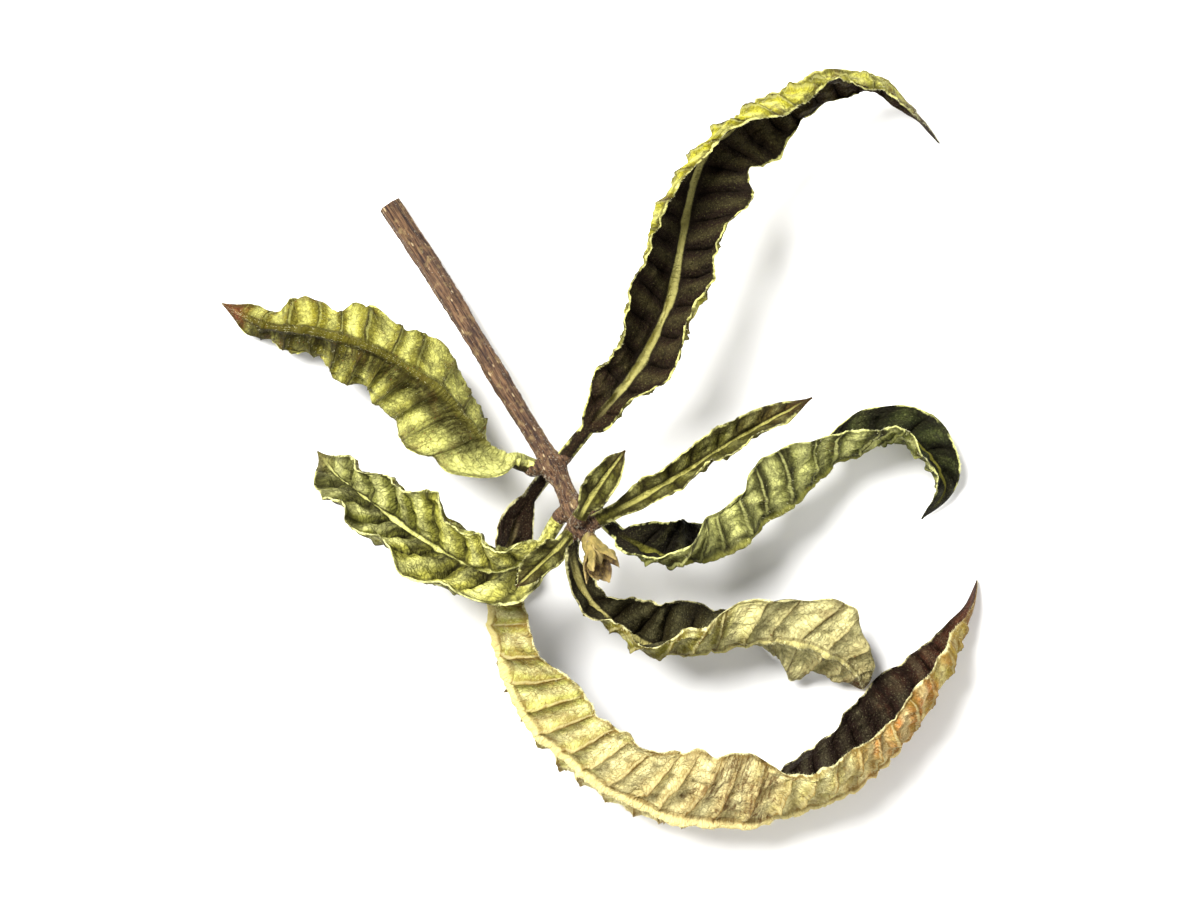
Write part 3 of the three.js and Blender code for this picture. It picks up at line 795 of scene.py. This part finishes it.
def leafMaterial(name, look):
    shading = Shading(name)
    times, plus, minus, absolute = shading.times, shading.plus, shading.minus, shading.absolute
    leafMap = shading.attribute("leafMap")
    v, t, share = shading.parts(leafMap)
    spot = shading.attribute("leafSpot")
    rim = shading.parts(spot)[2]
    below = shading.amount("below")
    flat = shading.warped(shading.scaled(spot, 1, 1, 0), 0.9, 0.5)
    fromMidrib = absolute(t)
    vein, deep, browned = colour(*look["vein"]), colour(*look["deep"]), colour(*look["browned"])
    midrib, pale = colour(*look["midrib"]), colour(*look["rim"])

    blotches = shading.grain(flat, 0.3, 4, 0.6)
    mottle = shading.grain(flat, 1.1, 5, 0.68)
    fine = shading.grain(flat, 5.5, 4, 0.7)
    streaks = shading.grain(shading.scaled(leafMap, 7, 0.6, 0), 1.0, 5, 0.65)
    places = shading.warped(shading.scaled(spot, 1, 1, 0), 2.2, 0.45)
    net = shading.step(shading.cells(places, 1.9), 0, 0.2, 1, 0)  # the fine net of veins

    # how far the nearest side vein is, as a share of the space between two
    wandering = plus(v, times(minus(mottle, 0.5), 0.12))
    signed = minus(shading.math("FRACT", plus(wandering, 0.5)), 0.5)
    away = absolute(signed)
    blade = times(shading.step(share, 0.06, 0.16), shading.step(share, 0.86, 0.98, 1, 0))
    band = times(blade, shading.step(fromMidrib, 0.15, 0.7))
    band = times(band, shading.step(streaks, 0.2, 0.55, 0.55, 1))
    uneven = shading.grain(shading.scaled(leafMap, 0.5, 0.15, 0), 1.0, 3, 0.5)
    band = times(band, shading.step(uneven, 0.36, 0.58, 0.65, 1))
    # painted shade in the valley at each side vein: a dark bar with a soft edge, where the flanks of
    # the ribs would lie in shadow
    bar = shading.step(away, 0.3 * look["bar"], look["bar"], 0.45, 0)
    softEdge = shading.step(away, 0.06, look["gap"], 0.55, 0)
    valleyShade = times(plus(bar, softEdge), band)
    # painted highlight on the swollen crown between two side veins
    crownHighlight = times(shading.step(away, 0.18, 0.44), band)
    # a thin painted highlight along the crest of each side vein
    crestHighlight = times(shading.step(absolute(plus(signed, 0.045)), 0.012, 0.045, 1, 0), band)
    ribWidth = look["ribWidth"]
    fromRib = shading.math("DIVIDE", fromMidrib, shading.step(share, 0.1, 1.0, 1.45, 0.5))
    rib = times(shading.step(fromRib, 0.5 * ribWidth, ribWidth, 1, 0), blade)
    # painted shade in the grooves beside the midrib
    besideRib = absolute(minus(fromRib, 1.15 * ribWidth))
    grooveShade = times(shading.step(besideRib, 0.1, 0.3, 1, 0), blade)
    place = plus(share, times(minus(blotches, 0.5), 0.3))
    patches = shading.grain(shading.scaled(leafMap, 1.3, 0.35, 0), 1.0, 4, 0.6)
    shade = times(shading.step(patches, 0.42, 0.66), blade)
    # a band of painted shade along the fold, centred furrowAt millimetres from the midrib
    fromFurrow = absolute(minus(t, look["furrowAt"]))
    furrow = times(shading.step(fromFurrow, 0.5, 2.5, 1, 0), blade)
    furrow = times(furrow, shading.step(streaks, 0.25, 0.6, 0.5, 1))

    # the underside, with painted highlights on its crowns and crests and painted shade in its valleys,
    # grooves and furrow
    outer = shading.ramp(place, look["outer"])
    outer = shading.mix(times(crownHighlight, look["outerCrownHighlight"]), outer, pale)
    outer = shading.mix(times(shade, 0.62), outer, vein)
    outer = shading.mix(shading.step(mottle, 0.47, 0.74, 0, 0.64), outer, vein)
    outer = shading.mix(shading.step(streaks, 0.52, 0.74, 0, 0.6), outer, vein)
    outer = shading.mix(times(net, 0.3), outer, vein)
    outer = shading.mix(shading.step(fine, 0.5, 0.7, 0, 0.45), outer, vein)
    outer = shading.mix(shading.step(fine, 0.3, 0.46, 0.4, 0), outer, pale)
    outer = shading.mix(times(valleyShade, 0.92), outer, vein)
    outer = shading.mix(times(crestHighlight, 0.28), outer, pale)
    outer = shading.mix(times(grooveShade, 0.55), outer, vein)
    fromScorch = absolute(minus(place, look["scorchAt"]))
    scorch = times(shading.step(fromScorch, 0.01, 0.06, 1, 0), shading.step(streaks, 0.43, 0.6))
    outer = shading.mix(times(scorch, look["scorch"]), outer, browned)
    outer = shading.mix(times(rib, 0.7), outer, midrib)
    outer = shading.mix(times(furrow, look["furrow"]), outer, vein)

    # the inner side: on most leaves its ramp is darkened as painted shade of the hollow it curls round,
    # with painted shade in its valleys, grooves and furrow
    inner = shading.ramp(place, look["inner"])
    inner = shading.mix(times(crownHighlight, look["innerCrownHighlight"]), inner, pale)
    inner = shading.mix(times(shade, 0.5), inner, deep)
    inner = shading.mix(shading.step(streaks, 0.48, 0.7, 0, 0.7), inner, deep)
    inner = shading.mix(shading.step(mottle, 0.48, 0.72, 0, 0.6), inner, deep)
    inner = shading.mix(times(net, 0.35), inner, deep)
    inner = shading.mix(shading.step(fine, 0.5, 0.7, 0, 0.5), inner, deep)
    inner = shading.mix(shading.step(fine, 0.3, 0.46, 0.12, 0), inner, pale)
    inner = shading.mix(times(valleyShade, 0.9), inner, deep)
    inner = shading.mix(times(grooveShade, 0.6), inner, deep)
    inner = shading.mix(times(furrow, look["furrow"]), inner, deep)
    inner = shading.mix(times(rib, 0.75), inner, midrib)

    # stains, mostly near the margin, and specks
    nearRim = shading.step(rim, 0.2, 2.4, 1, 0.45)
    stains = times(shading.step(shading.grain(flat, 0.42, 5, 0.65), 0.53, 0.66), nearRim)
    outer = shading.mix(times(stains, look["brownShare"]), outer, browned)
    specks = shading.step(shading.cells(flat, 1.7, "F1"), 0.08, 0.2, 0.7, 0)
    outer = shading.mix(times(specks, shading.step(blotches, 0.46, 0.6)), outer, browned)
    whole = shading.mix(below, inner, outer)

    # a dark line inside the margin, which is worn pale in places; that pale edge is partly a painted
    # highlight
    edge = plus(rim, times(minus(mottle, 0.5), 0.7))
    whole = shading.mix(shading.step(edge, 0.25, 0.8, 0.6, 0), whole, shading.mix(below, deep, vein))
    wornRimHighlight = shading.step(shading.grain(flat, 0.8, 3, 0.6), 0.4, 0.58)
    wornRimHighlight = times(wornRimHighlight, shading.step(share, 0.86, 0.95, 1, 0))
    whole = shading.mix(times(shading.step(edge, 0.04, 0.22, 0.8, 0), wornRimHighlight), whole, pale)
    whole = shading.mix(times(shading.amount("hair"), 0.7), whole, colour(*hairForm["leafColour"]))

    height = plus(times(net, -0.3), times(fine, 0.7))
    height = plus(height, plus(times(mottle, 0.9), times(streaks, 0.7)))
    shading.shader.inputs["Specular IOR Level"].default_value = 0.12
    return shading.finish(whole, shading.step(fine, 0.3, 0.7, 0.5, 0.82), height, 0.3)


print("making the leaves")
for leaf in leaves:
    points, faces, attributes = leafArrays(leaf, leafForm["rowsPerVein"], leafForm["columnWidth"],
                                           hairForm["leafHairsPerMillimetre"])
    look = leafLooks.get(leaf["name"], leafLooks["young"])
    skin = leafMaterial(leaf["name"] + "Skin", look)
    leafPiece = meshObject(leaf["name"], points, faces, attributes, skin)
    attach(leafPiece, "root")
    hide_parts(leaf["node"])
    print(" ", leaf["name"], len(faces), "faces")


# the line of the stem comes before the bud, which sits on its end
stemForm = {
    "line": [
        [-18.4, 30.4, 0.95],
        [-14.6, 24.6, 1.3],
        [-10.2, 17.6, 3.8],
        [-5.4, 9.8, 6.5],
        [-1.2, 3.0, 8.7],
        [1.0, -1.5, 10.9],
        [2.4, -4.2, 13.0],
    ],
    "cutRadius": 1.15,
    "tipRadius": 0.85,
    "ribs": 6,
    "ribHeight": 0.08,
    "nodes": [0.785, 0.913],  # shares of the length where the whorls sit
    "nodeSwelling": 0.5,
    "nodeReach": 1.3,
    "cushionRadius": 0.8,
    "cushionTaper": 0.12,
    "cushionRun": 0.8,
    "cushionOverlap": 0.15,  # how far a cushion reaches over its petiole
    "cushionSides": 24,
    "cushionRings": 20,
    "grownAt": {
        "lower_leaf_1": 0.775, "lower_leaf_2": 0.775, "lower_leaf_3": 0.775,
        "upper_leaf_1": 0.9, "upper_leaf_2": 0.9, "upper_leaf_3": 0.9,
        "young_leaf_1": 0.94, "young_leaf_2": 0.94, "young_leaf_3": 0.94,
    },
    "sides": 48,
    "rings": 260,
    "voxel": 0.1,
    "smoothing": 3,
    "sharpAngle": 70,
    "furrow": 0.06,  # grooves along the bark
    "wrinkle": 0.05,  # and fine wrinkles round it
}
stemSpine = Spine(stemForm["line"])

budForm = {
    "clearance": 0.3,
    "radius": 0.95,
    "length": 3.4,
    "sides": 28,
    "profile": [0, 0.5, 0.85, 1, 0.8, 0.45, 0.02],
    "scales": 6,
    "goldenTurn": 137.5,
    "firstScale": 0.5,
    "scaleStep": 0.22,
    "scaleLength": 4.2,
    "scaleShortening": 0.06,
    "scaleSplay": 1.3,
    "scaleClosing": 0.15,
    "scaleCurl": 45,
    "scaleRowsPerVein": 10,
    "scaleColumnWidth": 0.12,
    "scale": {
        "halfWidth": 0.95, "widest": 0.45, "taper": 0.95, "petiole": 0.8,
        "fold": 5, "wave": 0.1, "waves": 2, "wander": 0.25,
    },
}


def scaleLine(seat, axis, outward, i):
    # the line of one scale leaf, out from the bud's axis and along it
    length = budForm["scaleLength"] * (1 - i * budForm["scaleShortening"])
    start = budForm["firstScale"] + i * budForm["scaleStep"]
    splay = budForm["scaleSplay"] * (1 - i * budForm["scaleClosing"])
    radius = budForm["radius"]
    bulge = start + 0.45 * budForm["scaleLength"]
    places = [(start, 0.2), (bulge, radius + 0.35), (start + length, radius + splay)]
    points = np.array([seat + axis * along + outward * off for along, off in places])
    rows = []
    for k, point in enumerate(points):
        forward = unit(points[min(k + 1, 2)] - points[max(k - 1, 0)])
        level, rightward = squareTo(forward)
        roll = math.degrees(math.atan2(-outward @ rightward, -outward @ level))
        if rows:
            roll += 360 * round((rows[-1][3] - roll) / 360)
        rows.append([*point, roll, budForm["scaleCurl"], budForm["scaleCurl"]])
    return rows


def ringFaces(rings, sides):
    # quads round a tube, with a face over each end
    faces = []
    for i in range(rings - 1):
        for k in range(sides):
            a, b = i * sides + k, i * sides + (k + 1) % sides
            faces.append((a, a + sides, b + sides, b))
    faces.append(tuple(range(sides)))
    faces.append(tuple((rings - 1) * sides + k for k in reversed(range(sides))))
    return faces


def budCore(seat, axis):
    profile = Spine([[reach, i, 0] for i, reach in enumerate(budForm["profile"])])
    level, rightward = squareTo(axis)
    turns = np.linspace(0, 2 * np.pi, budForm["sides"], endpoint=False)[None, :, None]
    shares = np.linspace(0, 1, 22)
    rows = profile.rowAt(shares)
    radius = np.maximum(rows[:, 0], 0.03)[:, None, None] * budForm["radius"]
    radius = radius * (1 + 0.05 * np.sin(7 * turns))
    along = shares[:, None, None] * budForm["length"]
    points = seat + axis * along + radius * (rightward * np.cos(turns) + level * np.sin(turns))
    faces = ringFaces(len(shares), budForm["sides"])
    grids = [np.broadcast_to(values, radius.shape)[..., 0] for values in (along, turns, 1.0)]
    spot = np.stack(grids, -1).reshape(-1, 3)
    attributes = {
        "leafMap": spot,
        "leafSpot": spot,
        "below": np.ones(len(spot)),
        "hair": np.zeros(len(spot)),
    }
    return points.reshape(-1, 3) + knot, faces, attributes


budLook = {
    "dark": (74, 56, 30),
    "light": (140, 116, 62),
    "streak": (66, 40, 24),
    "below": (160, 148, 72),
    "tip": (190, 166, 106),
}


def budMaterial():
    shading = Shading("budSkin")
    dark, light = colour(*budLook["dark"]), colour(*budLook["light"])
    spot = shading.attribute("leafSpot")
    share = shading.parts(shading.attribute("leafMap"))[2]
    below = shading.amount("below")
    mottle = shading.grain(spot, 1.6, 4, 0.65)
    streaks = shading.grain(shading.scaled(spot, 0.6, 5, 1), 1.2, 3, 0.6)
    skin = shading.mix(shading.step(mottle, 0.4, 0.62), dark, light)
    skin = shading.mix(shading.step(streaks, 0.48, 0.7, 0, 0.7), skin, colour(*budLook["streak"]))
    skin = shading.mix(shading.times(below, 0.35), skin, colour(*budLook["below"]))
    skin = shading.mix(shading.step(share, 0.6, 1.0, 0, 0.45), skin, colour(*budLook["tip"]))
    fine = shading.grain(spot, 9, 3, 0.6)
    height = shading.plus(streaks, shading.times(fine, 0.6))
    shading.shader.inputs["Specular IOR Level"].default_value = 0.4
    return shading.finish(skin, shading.step(fine, 0.3, 0.7, 0.5, 0.8), height, 0.12)


print("making the bud")
stemTip = stemSpine.along(1.0)
stemAxis = stemSpine.tangent(np.array([1.0]))[0]
budSeat = stemTip + stemAxis * budForm["clearance"]
budLevel, budRight = squareTo(stemAxis)
budParts = [budCore(budSeat, stemAxis)]
for i in range(budForm["scales"]):
    turn = math.radians(budForm["goldenTurn"] * i)
    outward = budRight * math.cos(turn) + budLevel * math.sin(turn)
    scale = {**budForm["scale"], "seed": 101 + i, "line": scaleLine(budSeat, stemAxis, outward, i)}
    budParts.append(leafArrays(scale, budForm["scaleRowsPerVein"], budForm["scaleColumnWidth"]))
bud = meshObject("shootBud", *joinArrays(budParts), budMaterial())
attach(bud, "root")
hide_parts("shoot_tip")


def tubeArrays(line, radiusAt, sides, rings):
    # a closed tube along a line
    spine = Spine(line)
    shares = np.linspace(0, 1, rings)
    forward = spine.tangent(shares)
    level, rightward = squareTo(forward)
    turns = np.linspace(0, 2 * np.pi, sides, endpoint=False)
    middle = spine.along(shares)[:, None, :3]
    radius = radiusAt(shares[:, None], turns[None, :], spine.length)[..., None]
    turns = turns[None, :, None]
    points = middle + radius * (rightward[:, None] * np.cos(turns) + level[:, None] * np.sin(turns))
    return points.reshape(-1, 3), ringFaces(rings, sides), {}


def stemRadius(share, turn, length):
    plain = blendTo(stemForm["cutRadius"], stemForm["tipRadius"], share)
    swelling = sum(stemForm["nodeSwelling"] * bump((share - node) * length, stemForm["nodeReach"])
                   for node in stemForm["nodes"])
    ribs = stemForm["ribHeight"] * np.cos(stemForm["ribs"] * (turn - math.pi / 4))
    return (plain + swelling) * (1 + ribs)


def cushionArrays(leaf):
    # the short arm of the stem that carries a leaf
    root = stemSpine.along(stemForm["grownAt"][leaf["node"]])
    spine = Spine(leaf["line"])
    heading = spine.tangent(np.array([0.0]))[0]
    end = spine.along(0.0)[:3] + heading * stemForm["cushionOverlap"]
    bend = end - heading * stemForm["cushionRun"]
    radius = stemForm["cushionRadius"]

    def radiusAt(share, turn, length):
        taper = stemForm["cushionTaper"] * smooth((share - 0.8) / 0.2)
        return radius * (1 - taper) + 0 * turn  # the same all round

    return tubeArrays([root, bend, end], radiusAt, stemForm["cushionSides"], stemForm["cushionRings"])


def fused(points, faces, voxel, smoothing):
    # one closed skin round all the tubes, as plain arrays
    mesh = bpy.data.meshes.new("fusing")
    mesh.from_pydata(np.asarray(points).tolist(), [], faces)
    raw = bpy.data.objects.new("fusing", mesh)
    bpy.context.scene.collection.objects.link(raw)
    remesh = raw.modifiers.new("remesh", "REMESH")
    remesh.mode = "VOXEL"
    remesh.voxel_size = voxel
    relax = raw.modifiers.new("relax", "SMOOTH")
    relax.factor = 0.5
    relax.iterations = smoothing
    skin = raw.evaluated_get(bpy.context.evaluated_depsgraph_get()).to_mesh()
    co = np.zeros(len(skin.vertices) * 3, np.float32)
    skin.vertices.foreach_get("co", co)
    normals = np.zeros(len(skin.vertices) * 3, np.float32)
    skin.vertices.foreach_get("normal", normals)
    quads = [tuple(face.vertices) for face in skin.polygons]
    bpy.data.objects.remove(raw)
    return co.reshape(-1, 3).astype(float), normals.reshape(-1, 3).astype(float), quads


def barkMap(points):
    # for each point: millimetres along the stem, the angle round it and the distance from its middle
    shares = np.linspace(0, 1, 500)
    middle = stemSpine.along(shares)[:, :3]
    forward = stemSpine.tangent(shares)
    level, rightward = squareTo(forward)
    nearest = np.concatenate([((part[:, None] - middle) ** 2).sum(-1).argmin(1)
                              for part in np.array_split(points, 40)])
    away = points - middle[nearest]
    along = shares[nearest] * stemSpine.length + (away * forward[nearest]).sum(-1)
    x, y = (away * rightward[nearest]).sum(-1), (away * level[nearest]).sum(-1)
    return along, np.arctan2(y, x), np.hypot(x, y)


def stemHairs(points, normals, attributes):
    # most of them near the growing end
    random = np.random.default_rng(733)
    along = attributes["barkMap"][:, 0] / stemSpine.length
    weight = (0.15 + smooth((along - 0.5) / 0.5)) * (attributes["cut"] < 0.01)
    chosen = random.choice(len(points), hairForm["stemHairs"], replace=False, p=weight / weight.sum())
    forward = stemSpine.tangent(clamp01(along[chosen]))
    points, faces = hairSpikes(points[chosen], normals[chosen], forward, random)
    own = {key: np.repeat(values[chosen], 4, axis=0) for key, values in attributes.items()}
    own["hair"] = np.ones(4 * len(chosen))
    return points, faces, own


barkLook = {
    "dark": (40, 26, 20),
    "light": (112, 84, 58),
    "hairline": (40, 26, 24),
    "dusty": (150, 128, 84),
    "pore": (186, 164, 124),
    "wood": (168, 140, 92),
    "paleWood": (208, 186, 136),
    "pith": (226, 216, 190),
    "underBark": (74, 54, 40),
}


def barkMaterial():
    shading = Shading("stemBark")
    tone = {part: colour(*value) for part, value in barkLook.items()}
    depth = shading.parts(shading.attribute("barkMap"))[2]
    place = shading.attribute("barkPlace")
    cut = shading.amount("cut")
    streaks = shading.grain(shading.scaled(place, 0.25, 3.2, 3.2), 1.5, 4, 0.65)
    hairlines = shading.grain(shading.scaled(place, 0.5, 9, 9), 1.6, 3, 0.6)
    mottle = shading.grain(place, 1.1, 4, 0.6)
    bark = shading.mix(shading.step(streaks, 0.36, 0.66), tone["dark"], tone["light"])
    bark = shading.mix(shading.step(hairlines, 0.5, 0.66, 0, 0.75), bark, tone["hairline"])
    bark = shading.mix(shading.step(mottle, 0.52, 0.7, 0, 0.45), bark, tone["dusty"])
    pores = shading.cells(shading.scaled(place, 0.55, 1.6, 1.6), 0.9, "F1")
    bark = shading.mix(shading.step(pores, 0.1, 0.17, 0.7, 0), bark, tone["pore"])
    rings = shading.grain(shading.scaled(place, 0, 7, 7), 1.0, 3, 0.6)
    wood = shading.mix(shading.step(rings, 0.4, 0.6), tone["wood"], tone["paleWood"])
    wood = shading.mix(shading.step(depth, 0.32, 0.46, 1, 0), wood, tone["pith"])
    wood = shading.mix(shading.step(depth, 0.86, 0.98), wood, tone["underBark"])
    whole = shading.mix(cut, bark, wood)
    hair = shading.times(shading.amount("hair"), 0.7)
    whole = shading.mix(hair, whole, colour(*hairForm["stemColour"]))
    height = shading.plus(streaks, shading.times(hairlines, -0.8))
    roughness = shading.step(hairlines, 0.3, 0.7, 0.5, 0.78)
    shading.shader.inputs["Specular IOR Level"].default_value = 0.2
    return shading.finish(whole, roughness, height, 0.14)


print("making the stem")
tubes = [tubeArrays(stemForm["line"], stemRadius, stemForm["sides"], stemForm["rings"])]
tubes += [cushionArrays(leaf) for leaf in leaves]
tubePoints, tubeFaces = joinArrays(tubes)[:2]
fusing = (stemForm["voxel"], stemForm["smoothing"])
barkPoints, barkNormals, barkFaces = fused(tubePoints, tubeFaces, *fusing)
along, turn, depth = barkMap(barkPoints)
cut = smooth((0.16 - along) / 0.1) * (barkNormals @ stemSpine.tangent(np.array([0.0]))[0] < -0.6)
furrows = layers(turn * 3.1, along / 4.5, 131) * stemForm["furrow"]
wrinkles = layers(turn * 1.5, along / 0.5, 137) * stemForm["wrinkle"] * smooth((along - 1) / 3)
barkPoints += barkNormals * ((furrows + wrinkles) * (1 - cut))[:, None]
barkPoints[:, 2] = np.maximum(barkPoints[:, 2], 0)
barkAttributes = {
    "barkMap": np.stack([along, turn, depth], -1),
    "barkPlace": np.stack([along, depth * np.cos(turn), depth * np.sin(turn)], -1),
    "cut": cut,
    "hair": np.zeros(len(along)),
}
hairs = stemHairs(barkPoints, barkNormals, barkAttributes)
stemPoints, stemFaces, stemAttributes = joinArrays([(barkPoints, barkFaces, barkAttributes), hairs])
stemPoints = np.clip(stemPoints + knot, boxLow, boxHigh)
bark = barkMaterial()
stem = meshObject("ribbedStem", stemPoints, stemFaces, stemAttributes, bark, stemForm["sharpAngle"])
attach(stem, "root")
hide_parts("stem")
print("  stem", len(barkFaces), "faces")


studio = {
    "tableColour": (246, 245, 243),
    "tableShade": (243, 242, 240),
    "tableSize": 4000,
    "keyFrom": (-230, 210, 440),
    "keySize": 300,
    "keyPower": 7.9,
    "fillFrom": (320, -240, 300),
    "fillSize": 420,
    "fillPower": 1.0,
    "sky": 0.5,
    "aim": (0, 0, 6),
    "cameraHeight": 420,
    "lens": 120,
}


def tableTop():
    shading = Shading("tableTop")
    place = shading.add("ShaderNodeTexCoord", {}, "Object")
    grain = shading.grain(place, 60, 3, 0.6)
    tone = shading.mix(grain, colour(*studio["tableShade"]), colour(*studio["tableColour"]))
    half = studio["tableSize"] / 2
    corners = [(-half, -half, 0), (half, -half, 0), (half, half, 0), (-half, half, 0)]
    return meshObject("table", corners, [(0, 1, 2, 3)], {}, shading.finish(tone, 0.9, grain, 0.02))


def areaLight(name, fromPlace, size, power):
    data = bpy.data.lights.new(name, "AREA")
    data.shape = "DISK"
    data.size = size * millimetre
    data.energy = power
    light = bpy.data.objects.new(name, data)
    light.location = Vector(fromPlace) * millimetre
    towards = Vector(studio["aim"]) - Vector(fromPlace)
    light.rotation_euler = towards.to_track_quat("-Z", "Y").to_euler()
    bpy.context.scene.collection.objects.link(light)


print("setting up the table, lights and camera")
tableTop()
areaLight("windowLight", studio["keyFrom"], studio["keySize"], studio["keyPower"])
areaLight("fillLight", studio["fillFrom"], studio["fillSize"], studio["fillPower"])

world = bpy.data.worlds.new("paleRoom")
world.use_nodes = True
world.node_tree.nodes["Background"].inputs["Color"].default_value = (1, 1, 1, 1)
world.node_tree.nodes["Background"].inputs["Strength"].default_value = studio["sky"]
scene = bpy.context.scene
scene.world = world
scene.view_settings.view_transform = "Standard"

cameraData = bpy.data.cameras.new("topCamera")
cameraData.lens = studio["lens"]
cameraData.clip_start = 0.01
camera = bpy.data.objects.new("topCamera", cameraData)
camera.location = (0, 0, studio["cameraHeight"] * millimetre)
scene.collection.objects.link(camera)
scene.camera = camera
